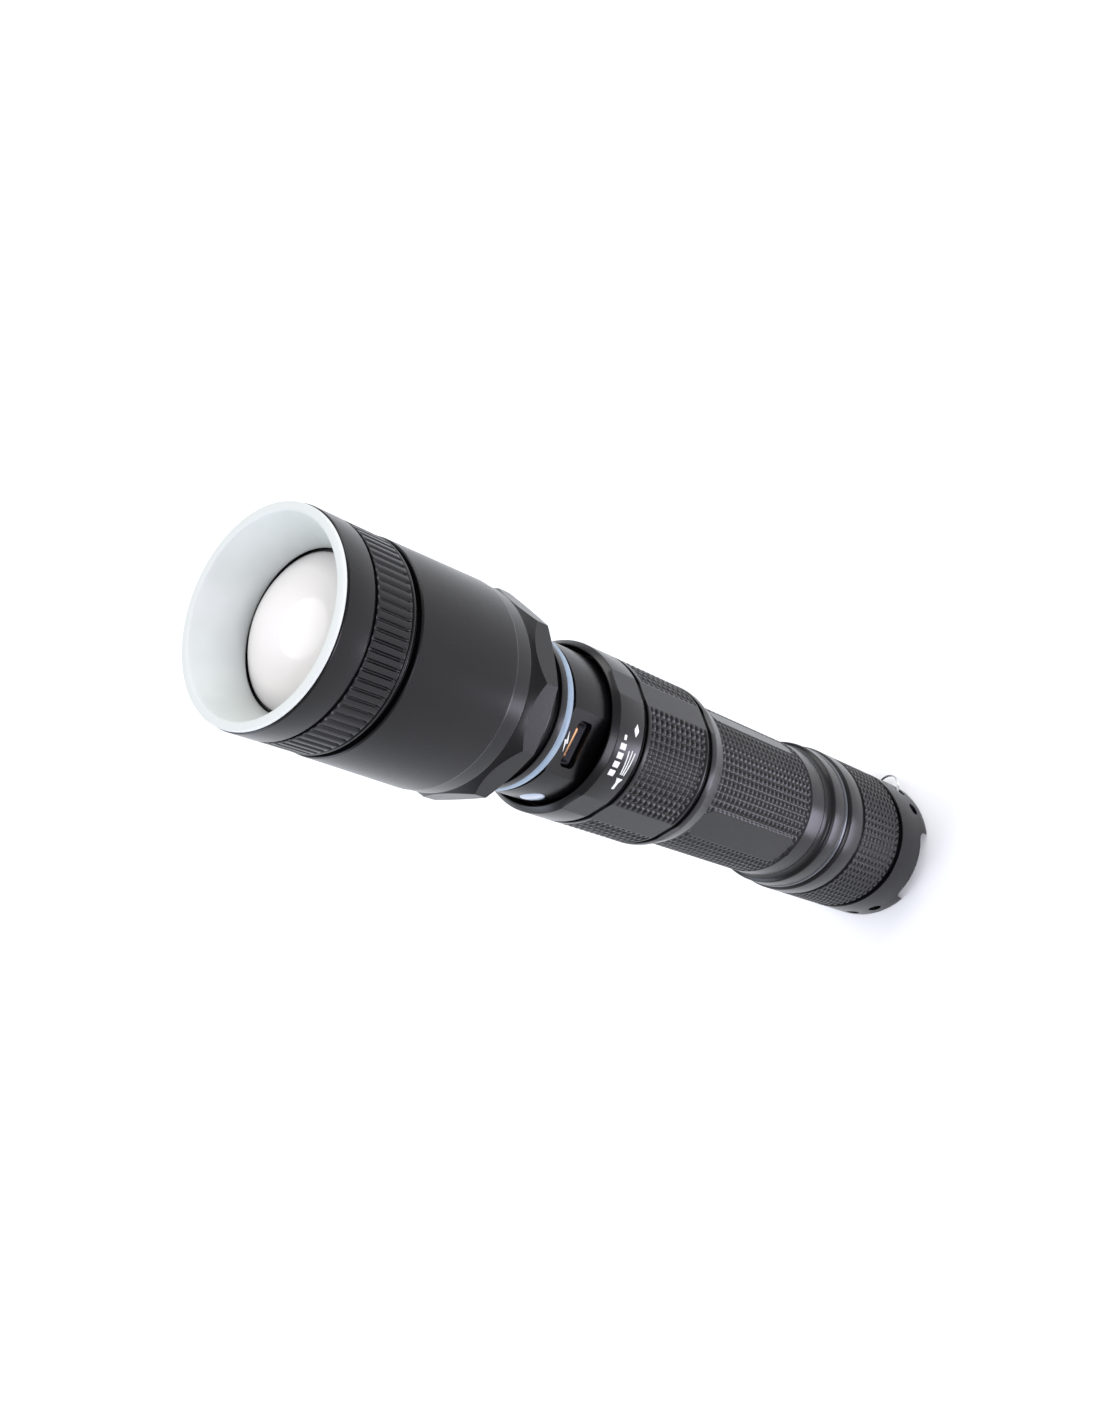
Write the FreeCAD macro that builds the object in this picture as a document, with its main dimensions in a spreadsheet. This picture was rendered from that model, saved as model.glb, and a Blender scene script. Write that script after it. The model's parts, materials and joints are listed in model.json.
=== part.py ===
import FreeCAD
import Part
import os
import math
import Sketcher

# A rotary-focus flashlight that charges through a port hidden under a sliding sleeve.
# It stands on its tail teeth, the axis is Z and the beam leaves along +Z.
# Every length is in millimetres and every level is a height above the tail teeth.

SIZES = {
    # outside radii
    "head_r": 16.05, "barrel_front_r": 15.75, "focus_r": 15.6, "band_r": 15.4, "corner_r": 16.4, "taper_r": 15.85,
    "waist_r": 14.9,
    "neck_shoulder_r": 13.4, "ring_r": 12.6, "neck_r": 12.3, "neck_groove_r": 11.9,
    "sleeve_r": 14.05, "sleeve_groove_r": 13.5, "sleeve_end_r": 13.2, "sleeve_bore_r": 12.95,
    "tube_r": 12.65, "tube_band_r": 13.6, "cap_r": 14.05, "cap_edge_r": 13.7, "cap_groove_r": 13.3,
    # levels of the focusing head, from the front down
    "front_z": 164.7, "band_front": 164.0, "band_corner": 163.8, "band_back": 159.4, "rib_front": 158.8,
    "lip_front": 152.5, "lip_back": 151.9, "rib_r": 15.55, "rib_groove_r": 15.1,
    "bezel_r": 14.9, "bezel_lip_r": 15.45, "bezel_mouth_r": 14.18, "bezel_throat_r": 11.7, "throat_z": 156.9, "bezel_seat": 156.7,
    "skirt_bore_r": 14.9, "flange_z": 154.9,
    "cam_r": 13.7, "cam_bore_r": 13.05, "cam_low": 139.0,
    "cam_slot_low": 140.47, "cam_slot_high": 142.97, "cam_cut_in": 12.8, "cam_cut_out": 14.2,
    "cam_pitch": 28.8, "cam_rise": 8.96,
    # the lens group
    "lens_r": 11.2, "lens_flat": 154.9, "lens_top": 161.3, "lens_ball": 16.2,
    "carrier_r": 12.0, "carrier_top": 156.4, "carrier_low": 148.4, "carrier_bore_r": 11.0,
    "ledge_r": 10.4, "ledge_top": 154.4, "ledge_low": 153.6,
    "pin_r": 0.9, "pin_z": 150.2, "pin_in": 11.1, "pin_out": 13.62, "pin_turn": 106.0,
    # the barrel and the tube that guides the lens
    "spigot_r": 14.6, "spigot_top": 154.6, "barrel_top": 150.8, "barrel_bore_r": 14.0,
    "oring_low": 152.6, "oring_high": 153.8, "oring_in": 14.3, "oring_out": 14.85,
    "taper_top": 132.0, "taper_low": 129.0, "waist_z": 128.1, "corner_top": 125.4, "corner_low": 123.4,
    "shoulder_z": 121.9, "shoulder_end": 121.3, "barrel_low": 119.3, "seat_z": 133.0,
    "facet_distance": 15.5, "facet_half": 7.0, "facet_cut_top": 128.0, "facet_cut_low": 121.0,
    "pill_r": 12.4, "pill_low": 125.0, "screw_r": 11.4,
    "guide_r": 12.75, "guide_bore_r": 12.08, "guide_foot_top": 136.5,
    "guide_slot_low": 141.0, "guide_slot_high": 151.4, "guide_slot_half": 1.2,
    # the light engine
    "pill_top": 131.0, "pedestal_r": 7.0, "pedestal_top": 134.0, "pill_cup_r": 10.8, "pill_cup_top": 128.5,
    "star_r": 8.0, "star_top": 135.2, "emitter_half": 1.75, "emitter_top": 135.9, "emitter_ball": 1.6,
    "driver_top": 127.0, "driver_low": 125.6, "coil_r": 3.0, "coil_top": 128.3,
    # the charging neck
    "screw_top": 124.9, "screw_bore_r": 9.4, "groove_low": 117.7, "ring_low": 116.3, "seal_low": 114.6,
    "neck_top": 114.0, "neck_low": 98.0, "neck_bore_r": 10.2, "neck_roof": 116.5,
    "flat_distance": 11.3, "flat_top": 113.6, "flat_low": 104.0, "flat_half": 6.5,
    "port_z": 110.1, "port_half_w": 3.8, "port_half_h": 1.6,
    "shell_half_w": 3.2, "shell_half_h": 1.05, "shell_wall": 0.3, "shell_front": 10.3, "shell_back": 5.5,
    "tongue_half_w": 2.6, "tongue_half_h": 0.3, "tongue_front": 9.9, "tongue_back": 5.8,
    "board_r": 10.2, "board_top": 108.9, "board_low": 107.4, "chip_half": 2.2, "chip_top": 109.9, "chip_y": 4.0,
    "light_r": 2.0, "light_z": 108.7, "light_in": 10.25, "light_out": 12.6, "light_turn": -148.0,
    # the cell and its contacts
    "contact_board_top": 100.1, "contact_board_low": 98.6, "contact_r": 3.0, "contact_low": 96.7,
    "cell_r": 9.2, "cell_low": 30.5, "cell_top": 95.5, "nub_r": 2.7, "nub_top": 96.5,
    # the sliding sleeve
    "sleeve_top": 106.1, "sleeve_edge": 105.7, "collar_low": 98.9, "collar_groove_low": 97.8,
    "sleeve_knurl_low": 80.8, "sleeve_rim_top": 79.7, "sleeve_rim_low": 78.4, "sleeve_low": 74.9,
    "sleeve_flat_distance": 13.86, "sleeve_flat_half": 4.0,
    "wiper_out": 12.9, "wiper_in": 12.1, "wiper_a_low": 100.4, "wiper_a_high": 101.8,
    "wiper_b_low": 86.0, "wiper_b_high": 87.4,
    # the battery tube
    "tube_bore_r": 9.7, "tube_step": 39.7, "tube_band_top": 37.8, "tube_band_low": 33.9,
    "thread_r": 11.6, "thread_low": 19.0, "tube_flat_distance": 12.25, "tube_flat_half": 3.2,
    "tube_flat_top": 71.2, "tube_flat_low": 47.6,
    "tail_seal_low": 32.55, "tail_seal_out": 13.7,
    # the tail cap and its switch
    "cap_top": 32.5, "cap_corner": 32.0, "cap_knurl_top": 26.6, "cap_band_low": 27.7, "cap_knurl_low": 12.6,
    "cap_tail_top": 11.1, "cap_bore_r": 12.05, "cap_bore_low": 13.0, "switch_bore_r": 11.0, "web_top": 6.6,
    "web_low": 5.0, "web_hole_r": 7.0, "cup_r": 12.0, "cup_edge_r": 12.5,
    "recess_top": 3.3, "recess_half": 5.4, "recess_flare": 6.9, "recess_corner": 1.5,
    "cord_hole_r": 1.25, "cord_hole_x": 2.48, "cord_hole_z": 3.5, "cord_wire_r": 0.4, "wall_middle_r": 13.0,
    "ring_side_x": 7.85, "ring_side_z": 1.3,
    "boot_r": 6.6, "boot_top": 7.6, "boot_low": 4.5, "boot_ball": 11.0,
    "skirt_in": 6.95, "skirt_top": 7.8, "stem_r": 2.4, "stem_top": 9.6,
    "switch_half": 4.6, "switch_low": 11.4, "switch_top": 15.0, "tail_board_top": 16.4,
    "retainer_in": 8.6, "retainer_top": 18.6, "spring_r": 5.2, "spring_wire_r": 0.45, "spring_top": 29.9,
    "spring_pitch": 2.6,
}

doc = FreeCAD.newDocument("flashlight")
sheet = doc.addObject("Spreadsheet::Sheet", "dims")
for row, (name, size) in enumerate(SIZES.items(), start=1):
    sheet.set("A" + str(row), name)
    sheet.set("B" + str(row), str(size))
    sheet.setAlias("B" + str(row), name)
doc.recompute()

NODES = []


def size_of(formula):
    """The value of a sum or difference of sheet names, such as "head_r - wall"."""
    total = 0.0
    sign = 1.0
    for word in str(formula).split():
        if word in "+-":
            sign = 1.0 if word == "+" else -1.0
        elif word in SIZES:
            total += sign * SIZES[word]
        else:
            total += sign * float(word)
    return total


def bound(formula):
    """The same sum written for the spreadsheet."""
    return " ".join("dims." + word if word in SIZES else word for word in str(formula).split())


def new_body(label):
    body = doc.addObject("PartDesign::Body", label)
    body.Label = label
    NODES.append(body)
    return body


def new_sketch(body, name, role, away=None):
    """A sketch on one of the body's own planes, moved along the plane's normal by a sheet size."""
    sketch = body.newObject("Sketcher::SketchObject", name)
    plane = [item for item in body.Origin.OriginFeatures if item.Role == role][0]
    sketch.AttachmentSupport = [(plane, "")]
    sketch.MapMode = "FlatFace"
    if away is not None:
        sketch.AttachmentOffset = FreeCAD.Placement(FreeCAD.Vector(0, 0, size_of(away)), FreeCAD.Rotation())
        sketch.setExpression("AttachmentOffset.Base.z", bound(away))
    return sketch


def fix_point(sketch, edge, which, axis, formula):
    """Ties one end of an edge to the sketch origin along X or Y by a sheet size."""
    value = size_of(formula)
    if abs(value) < 1e-9:
        sketch.addConstraint(Sketcher.Constraint("PointOnObject", edge, which, -2 if axis == "X" else -1))
        return
    number = sketch.addConstraint(Sketcher.Constraint("Distance" + axis, -1, 1, edge, which, value))
    sketch.setExpression("Constraints[" + str(number) + "]", bound(formula))


def outline(sketch, points):
    """A closed outline of straight lines through points given as pairs of sheet formulas."""
    corners = [FreeCAD.Vector(size_of(across), size_of(along), 0) for across, along in points]
    count = len(corners)
    for index in range(count):
        sketch.addGeometry(Part.LineSegment(corners[index], corners[(index + 1) % count]))
    for index in range(count):
        sketch.addConstraint(Sketcher.Constraint("Coincident", index, 2, (index + 1) % count, 1))
    for index, (across, along) in enumerate(points):
        fix_point(sketch, index, 1, "X", across)
        fix_point(sketch, index, 1, "Y", along)


def turned(label, points):
    """A body turned on the lathe: its half section goes once round the Z axis."""
    body = new_body(label)
    sketch = new_sketch(body, label + "_section", "XZ_Plane")
    outline(sketch, points)
    turn = body.newObject("PartDesign::Revolution", label + "_turn")
    turn.Profile = sketch
    turn.ReferenceAxis = (sketch, ["V_Axis"])
    turn.Angle = 360.0
    body.Tip = turn
    doc.recompute()
    return body


def ring(label, inner, outer, low, high):
    return turned(label, [(inner, low), (outer, low), (outer, high), (inner, high)])


def cut(body, name, sketch, depth, outward):
    """A pocket from a sketch, outward along its normal or inward, checked by the metal it removes."""
    before = body.Shape.Volume
    pocket = body.newObject("PartDesign::Pocket", name)
    pocket.Profile = sketch
    pocket.Type = "Length"
    pocket.Length = depth
    pocket.Reversed = outward
    body.Tip = pocket
    doc.recompute()
    if not body.Shape.Volume < before - 1e-3:
        raise RuntimeError(name + " removes nothing")
    return pocket


def round_about(body, name, feature, count):
    """Repeats a cut round the body's own Z axis."""
    before = body.Shape.Volume
    pattern = body.newObject("PartDesign::PolarPattern", name)
    pattern.Originals = [feature]
    axis = [item for item in body.Origin.OriginFeatures if item.Role == "Z_Axis"][0]
    pattern.Axis = (axis, [""])
    pattern.Angle = 360.0
    pattern.Occurrences = count
    body.Tip = pattern
    doc.recompute()
    if not body.Shape.Volume < before - 1e-3:
        raise RuntimeError(name + " removes nothing")
    return pattern


def turn_body(body, degrees):
    body.Placement = FreeCAD.Placement(FreeCAD.Vector(0, 0, 0), FreeCAD.Rotation(FreeCAD.Vector(0, 0, 1), degrees))


def disc(label, radius, low, high):
    """A plain round piece on the axis."""
    piece = doc.addObject("Part::Cylinder", label)
    piece.setExpression("Radius", bound(radius))
    piece.setExpression("Height", "(" + bound(high) + ") - (" + bound(low) + ")")
    piece.setExpression("Placement.Base.z", bound(low))
    return piece


def block(label, half_x, low_y, high_y, low_z, high_z):
    """A rectangular piece centred on X."""
    piece = doc.addObject("Part::Box", label)
    piece.setExpression("Length", "2 * " + bound(half_x))
    piece.setExpression("Width", "(" + bound(high_y) + ") - (" + bound(low_y) + ")")
    piece.setExpression("Height", "(" + bound(high_z) + ") - (" + bound(low_z) + ")")
    piece.setExpression("Placement.Base.x", "-" + bound(half_x))
    piece.setExpression("Placement.Base.y", bound(low_y))
    piece.setExpression("Placement.Base.z", bound(low_z))
    return piece


def joined(label, kind, base, tool):
    """The union, difference or overlap of two simple pieces."""
    piece = doc.addObject("Part::" + kind, label)
    if kind == "Cut":
        piece.Base = base
        piece.Tool = tool
    else:
        piece.Shapes = [base, tool]
    return piece


def node(piece, label):
    piece.Label = label
    NODES.append(piece)
    return piece


# The focusing ring, the white bezel cone pressed into it and the cam sleeve under them.
turned("focus_ring", [
    ("bezel_r", "band_front"), ("band_r", "band_front"), ("focus_r", "band_corner"), ("focus_r", "band_back"),
    ("rib_groove_r", "band_back"), ("rib_groove_r", "rib_front"), ("rib_r", "rib_front"), ("rib_r", "lip_front"),
    ("focus_r", "lip_front"), ("focus_r", "lip_back"), ("skirt_bore_r", "lip_back"), ("skirt_bore_r", "flange_z"),
    ("cam_r", "flange_z"), ("cam_r", "bezel_seat"), ("bezel_r", "bezel_seat")])
turned("bezel_cone", [
    ("bezel_throat_r", "bezel_seat"), ("bezel_r", "bezel_seat"), ("bezel_r", "band_front"),
    ("bezel_lip_r", "band_front"), ("bezel_lip_r", "front_z"), ("bezel_mouth_r", "front_z"), ("bezel_throat_r", "throat_z")])

# Three right-hand helical slots turn the ring's 100 degrees into 8 mm of lens travel.
cam = ring("cam_sleeve", "cam_bore_r", "cam_r", "cam_low", "bezel_seat")
slot_section = new_sketch(cam, "cam_slot_section", "XZ_Plane")
outline(slot_section, [
    ("cam_cut_in", "cam_slot_low"), ("cam_cut_out", "cam_slot_low"),
    ("cam_cut_out", "cam_slot_high"), ("cam_cut_in", "cam_slot_high")])
helix = cam.newObject("PartDesign::SubtractiveHelix", "cam_slot")
helix.Profile = slot_section
helix.ReferenceAxis = (slot_section, ["V_Axis"])
helix.Mode = "pitch-height-angle"
helix.Pitch = SIZES["cam_pitch"]
helix.Height = SIZES["cam_rise"]
helix.setExpression("Pitch", "dims.cam_pitch")
helix.setExpression("Height", "dims.cam_rise")
cam.Tip = helix
doc.recompute()
round_about(cam, "cam_slots", helix, 3)

# The lens group: a carrier with three pins, a gasket and the plano-convex lens.
turned("lens_carrier", [
    ("carrier_bore_r", "carrier_low"), ("carrier_r", "carrier_low"), ("carrier_r", "carrier_top"),
    ("lens_r", "carrier_top"), ("lens_r", "ledge_top"), ("ledge_r", "ledge_top"), ("ledge_r", "ledge_low"),
    ("carrier_bore_r", "ledge_low")])
ring("lens_gasket", "ledge_r", "lens_r", "ledge_top", "lens_flat")
lens_ball = doc.addObject("Part::Sphere", "lens_ball")
lens_ball.setExpression("Radius", "dims.lens_ball")
lens_ball.setExpression("Placement.Base.z", "dims.lens_top - dims.lens_ball")
node(joined("lens", "MultiCommon", lens_ball, disc("lens_blank", "lens_r", "lens_flat", "lens_top")), "lens")
for index in range(3):
    pin = doc.addObject("Part::Cylinder", "guide_pin_" + str(index + 1))
    pin.setExpression("Radius", "dims.pin_r")
    pin.setExpression("Height", "dims.pin_out - dims.pin_in")
    angle = SIZES["pin_turn"] + 120.0 * index
    across = FreeCAD.Rotation(FreeCAD.Vector(0, 0, 1), angle)
    tilt = FreeCAD.Rotation(FreeCAD.Vector(0, 1, 0), 90)
    start = across.multVec(FreeCAD.Vector(SIZES["pin_in"], 0, 0))
    pin.Placement = FreeCAD.Placement(FreeCAD.Vector(start.x, start.y, SIZES["pin_z"]), across.multiply(tilt))
    node(pin, "guide_pin_" + str(index + 1))

# The barrel: spigot, grip, waist and a ring of ten wrench flats.
barrel = turned("head_barrel", [
    ("barrel_bore_r", "spigot_top"), ("oring_in", "spigot_top"), ("spigot_r", "spigot_top - 0.4"),
    ("spigot_r", "oring_high"), ("oring_in", "oring_high"), ("oring_in", "oring_low"), ("spigot_r", "oring_low"),
    ("spigot_r", "barrel_top"), ("barrel_front_r - 0.2", "barrel_top"), ("barrel_front_r", "barrel_top - 0.2"),
    ("head_r", "taper_top"), ("taper_r", "taper_low"), ("waist_r", "waist_z"), ("corner_r", "corner_top"),
    ("corner_r", "corner_low"), ("neck_shoulder_r", "shoulder_z"), ("ring_r", "shoulder_end"),
    ("ring_r", "barrel_low"), ("screw_r", "barrel_low"), ("screw_r", "pill_low"), ("pill_r", "pill_low"),
    ("pill_r", "seat_z"), ("barrel_bore_r", "seat_z")])
facet = new_sketch(barrel, "facet_outline", "XZ_Plane", "facet_distance")
outline(facet, [
    ("0 - facet_half", "facet_cut_low"), ("facet_half", "facet_cut_low"),
    ("facet_half", "facet_cut_top"), ("0 - facet_half", "facet_cut_top")])
round_about(barrel, "facets", cut(barrel, "facet", facet, 4.0, True), 10)
turn_body(barrel, 8.0)
ring("focus_seal", "oring_in", "oring_out", "oring_low", "oring_high")
guide = turned("guide_tube", [
    ("guide_bore_r", "seat_z"), ("barrel_bore_r", "seat_z"), ("barrel_bore_r", "guide_foot_top"),
    ("guide_r", "guide_foot_top"), ("guide_r", "carrier_top"), ("guide_bore_r", "carrier_top")])
guide_slot = new_sketch(guide, "guide_slot_outline", "XZ_Plane")
outline(guide_slot, [
    ("0 - guide_slot_half", "guide_slot_low"), ("guide_slot_half", "guide_slot_low"),
    ("guide_slot_half", "guide_slot_high"), ("0 - guide_slot_half", "guide_slot_high")])
round_about(guide, "guide_slots", cut(guide, "guide_slot", guide_slot, 20.0, False), 3)
turn_body(guide, SIZES["pin_turn"] - 90.0)

# The light engine: brass pill, star board, emitter, driver board and coil.
turned("led_pill", [
    ("pill_cup_r", "pill_low"), ("pill_r", "pill_low"), ("pill_r", "pill_top"), ("pedestal_r", "pill_top"),
    ("pedestal_r", "pedestal_top"), ("0", "pedestal_top"), ("0", "pill_cup_top"), ("pill_cup_r", "pill_cup_top")])
node(disc("led_board", "star_r", "pedestal_top", "star_top"), "led_board")
node(block("led_emitter", "emitter_half", "0 - emitter_half", "emitter_half", "star_top", "emitter_top"),
     "led_emitter")
dome_ball = doc.addObject("Part::Sphere", "dome_ball")
dome_ball.setExpression("Radius", "dims.emitter_ball")
dome_ball.setExpression("Placement.Base.z", "dims.emitter_top")
dome_clip = disc("dome_clip", "emitter_ball", "emitter_top", "emitter_top + emitter_ball")
node(joined("led_dome", "MultiCommon", dome_ball, dome_clip), "led_dome")
node(disc("driver_board", "pill_cup_r", "driver_low", "driver_top"), "driver_board")
node(disc("driver_coil", "coil_r", "driver_top", "coil_top"), "driver_coil")

# The charging neck: screwed into the barrel, with a milled flat round the port and an indicator light.
neck = turned("charge_neck", [
    ("neck_bore_r", "neck_low"), ("neck_r", "neck_low"), ("neck_r", "wiper_a_low"), ("wiper_in", "wiper_a_low"),
    ("wiper_in", "wiper_a_high"), ("neck_r", "wiper_a_high"), ("neck_r", "neck_top"),
    ("neck_groove_r", "neck_top"), ("neck_groove_r", "ring_low"), ("ring_r", "ring_low"), ("ring_r", "groove_low"),
    ("neck_groove_r", "groove_low"), ("neck_groove_r", "barrel_low"), ("screw_r", "barrel_low"),
    ("screw_r", "screw_top"), ("screw_bore_r", "screw_top"), ("screw_bore_r", "neck_roof"),
    ("neck_bore_r", "neck_roof")])
flat = new_sketch(neck, "port_flat_outline", "XZ_Plane", "flat_distance")
outline(flat, [
    ("0 - flat_half", "flat_low"), ("flat_half", "flat_low"), ("flat_half", "flat_top"), ("0 - flat_half", "flat_top")])
cut(neck, "port_flat", flat, 3.0, True)


def rounded_slot(sketch, half_width, half_height, level):
    """A slot with round ends, centred on the sketch's vertical axis at a level."""
    radius = size_of(half_height)
    reach = size_of(half_width) - radius
    middle = size_of(level)
    left = FreeCAD.Vector(-reach, middle, 0)
    right = FreeCAD.Vector(reach, middle, 0)
    up = FreeCAD.Vector(0, 0, 1)
    quarter = math.pi / 2
    sketch.addGeometry(Part.ArcOfCircle(Part.Circle(right, up, radius), -quarter, quarter))
    sketch.addGeometry(Part.ArcOfCircle(Part.Circle(left, up, radius), quarter, 3 * quarter))
    sketch.addGeometry(Part.LineSegment(right.add(FreeCAD.Vector(0, radius, 0)), left.add(FreeCAD.Vector(0, radius, 0))))
    sketch.addGeometry(Part.LineSegment(left.sub(FreeCAD.Vector(0, radius, 0)), right.sub(FreeCAD.Vector(0, radius, 0))))
    for first, end, second, start in ((0, 2, 2, 1), (2, 2, 1, 1), (1, 2, 3, 1), (3, 2, 0, 1)):
        sketch.addConstraint(Sketcher.Constraint("Tangent", first, end, second, start))
    number = sketch.addConstraint(Sketcher.Constraint("Radius", 0, radius))
    sketch.setExpression("Constraints[" + str(number) + "]", bound(half_height))
    fix_point(sketch, 0, 3, "X", half_width + " - " + half_height)
    fix_point(sketch, 0, 3, "Y", level)
    fix_point(sketch, 1, 3, "X", "0 - " + half_width + " + " + half_height)


port = new_sketch(neck, "port_outline", "XZ_Plane", "neck_bore_r - 2")
rounded_slot(port, "port_half_w", "port_half_h", "port_z")
cut(neck, "port_slot", port, 6.0, True)

# The seat of the indicator light is bored across the wall at its own angle round the neck.
light_plane = new_sketch(neck, "light_outline", "XZ_Plane")
light_spin = FreeCAD.Rotation(FreeCAD.Vector(0, 1, 0), SIZES["light_turn"] + 90.0)
light_plane.AttachmentOffset = FreeCAD.Placement(FreeCAD.Vector(0, 0, 0), light_spin)
light_plane.addGeometry(Part.Circle(FreeCAD.Vector(0, SIZES["light_z"], 0), FreeCAD.Vector(0, 0, 1), SIZES["light_r"]))
light_size = light_plane.addConstraint(Sketcher.Constraint("Radius", 0, SIZES["light_r"]))
light_plane.setExpression("Constraints[" + str(light_size) + "]", "dims.light_r")
fix_point(light_plane, 0, 3, "X", "0")
fix_point(light_plane, 0, 3, "Y", "light_z")
cut(neck, "light_seat", light_plane, 20.0, True)
light = doc.addObject("Part::Cylinder", "light_rod")
light.setExpression("Radius", "dims.light_r")
light.setExpression("Height", "dims.light_out - dims.light_in")
light_way = FreeCAD.Rotation(FreeCAD.Vector(0, 0, 1), SIZES["light_turn"])
light_start = light_way.multVec(FreeCAD.Vector(SIZES["light_in"], 0, 0))
light_tilt = light_way.multiply(FreeCAD.Rotation(FreeCAD.Vector(0, 1, 0), 90))
light.Placement = FreeCAD.Placement(
    FreeCAD.Vector(light_start.x, light_start.y, SIZES["light_z"]), light_tilt)
light_limit = disc("light_limit", "light_out", "light_z - light_r", "light_z + light_r")
node(joined("indicator_light", "MultiCommon", light, light_limit), "indicator_light")

ring("seal_ring", "neck_groove_r", "ring_r", "seal_low", "ring_low")
node(disc("charge_board", "board_r", "board_low", "board_top"), "charge_board")
node(block("charge_chip", "chip_half", "chip_y - chip_half", "chip_y + chip_half", "board_top", "chip_top"),
     "charge_chip")
shell_out = block("shell_out", "shell_half_w", "0 - shell_front", "0 - shell_back",
                  "port_z - shell_half_h", "port_z + shell_half_h")
shell_in = block("shell_in", "shell_half_w", "0 - shell_front - shell_wall", "0 - shell_back - shell_wall",
                 "port_z - shell_half_h + shell_wall", "port_z + shell_half_h - shell_wall")
shell_in.setExpression("Length", "2 * (dims.shell_half_w - dims.shell_wall)")
shell_in.setExpression("Placement.Base.x", "dims.shell_wall - dims.shell_half_w")
node(joined("usb_shell", "Cut", shell_out, shell_in), "usb_shell")
node(block("usb_tongue", "tongue_half_w", "0 - tongue_front", "0 - tongue_back",
           "port_z - tongue_half_h", "port_z + tongue_half_h"), "usb_tongue")

# The battery tube and the parts between the cell and the neck.
tube = turned("battery_tube", [
    ("tube_bore_r", "thread_low"), ("thread_r", "thread_low"), ("thread_r", "tube_band_low"),
    ("tube_band_r", "tube_band_low"), ("tube_band_r", "tube_band_top"), ("tube_r", "tube_step"),
    ("tube_r", "wiper_b_low"), ("wiper_in", "wiper_b_low"), ("wiper_in", "wiper_b_high"),
    ("tube_r", "wiper_b_high"), ("tube_r", "neck_low"), ("tube_bore_r", "neck_low")])
grip = new_sketch(tube, "grip_flat_outline", "XZ_Plane", "tube_flat_distance")
grip_radius = SIZES["tube_flat_half"]
grip_top = FreeCAD.Vector(0, SIZES["tube_flat_top"], 0)
grip_low = FreeCAD.Vector(0, SIZES["tube_flat_low"], 0)
side = FreeCAD.Vector(grip_radius, 0, 0)
spin = FreeCAD.Vector(0, 0, 1)
grip.addGeometry(Part.ArcOfCircle(Part.Circle(grip_top, spin, grip_radius), 0, math.pi))
grip.addGeometry(Part.ArcOfCircle(Part.Circle(grip_low, spin, grip_radius), math.pi, 2 * math.pi))
grip.addGeometry(Part.LineSegment(grip_top.sub(side), grip_low.sub(side)))
grip.addGeometry(Part.LineSegment(grip_low.add(side), grip_top.add(side)))
for first, end, second, start in ((0, 2, 2, 1), (2, 2, 1, 1), (1, 2, 3, 1), (3, 2, 0, 1)):
    grip.addConstraint(Sketcher.Constraint("Tangent", first, end, second, start))
grip_size = grip.addConstraint(Sketcher.Constraint("Radius", 0, grip_radius))
grip.setExpression("Constraints[" + str(grip_size) + "]", "dims.tube_flat_half")
fix_point(grip, 0, 3, "X", "0")
fix_point(grip, 0, 3, "Y", "tube_flat_top")
fix_point(grip, 1, 3, "Y", "tube_flat_low")
round_about(tube, "grip_flats", cut(tube, "grip_flat", grip, 3.0, True), 4)
turn_body(tube, 67.0)
ring("sleeve_wiper_front", "wiper_in", "wiper_out", "wiper_a_low", "wiper_a_high")
ring("sleeve_wiper_rear", "wiper_in", "wiper_out", "wiper_b_low", "wiper_b_high")
ring("tail_seal", "thread_r", "tail_seal_out", "tail_seal_low", "tube_band_low")
node(disc("contact_board", "neck_bore_r", "contact_board_low", "contact_board_top"), "contact_board")
node(disc("cell_contact", "contact_r", "contact_low", "contact_board_low"), "cell_contact")
node(disc("battery_cell", "cell_r", "cell_low", "cell_top"), "battery_cell")
node(disc("cell_button", "nub_r", "cell_top", "nub_top"), "cell_button")

# The sleeve that slides forward over the port.
sleeve = turned("port_sleeve", [
    ("sleeve_bore_r", "sleeve_low"), ("sleeve_end_r", "sleeve_low"), ("sleeve_r", "sleeve_rim_low"),
    ("sleeve_r", "sleeve_rim_top"), ("sleeve_groove_r", "sleeve_rim_top"), ("sleeve_groove_r", "sleeve_knurl_low"),
    ("sleeve_r", "sleeve_knurl_low"), ("sleeve_r", "collar_groove_low"), ("sleeve_groove_r", "collar_groove_low"),
    ("sleeve_groove_r", "collar_low"), ("sleeve_r", "collar_low"), ("sleeve_r", "sleeve_edge"),
    ("sleeve_end_r", "sleeve_top"), ("sleeve_bore_r", "sleeve_top")])
sleeve_flat = new_sketch(sleeve, "sleeve_flat_outline", "XZ_Plane", "sleeve_flat_distance")
outline(sleeve_flat, [
    ("0 - sleeve_flat_half", "sleeve_low - 1"), ("sleeve_flat_half", "sleeve_low - 1"),
    ("sleeve_flat_half", "sleeve_top + 1"), ("0 - sleeve_flat_half", "sleeve_top + 1")])
round_about(sleeve, "sleeve_flats", cut(sleeve, "sleeve_flat", sleeve_flat, 3.0, True), 4)
turn_body(sleeve, 53.0)

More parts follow.
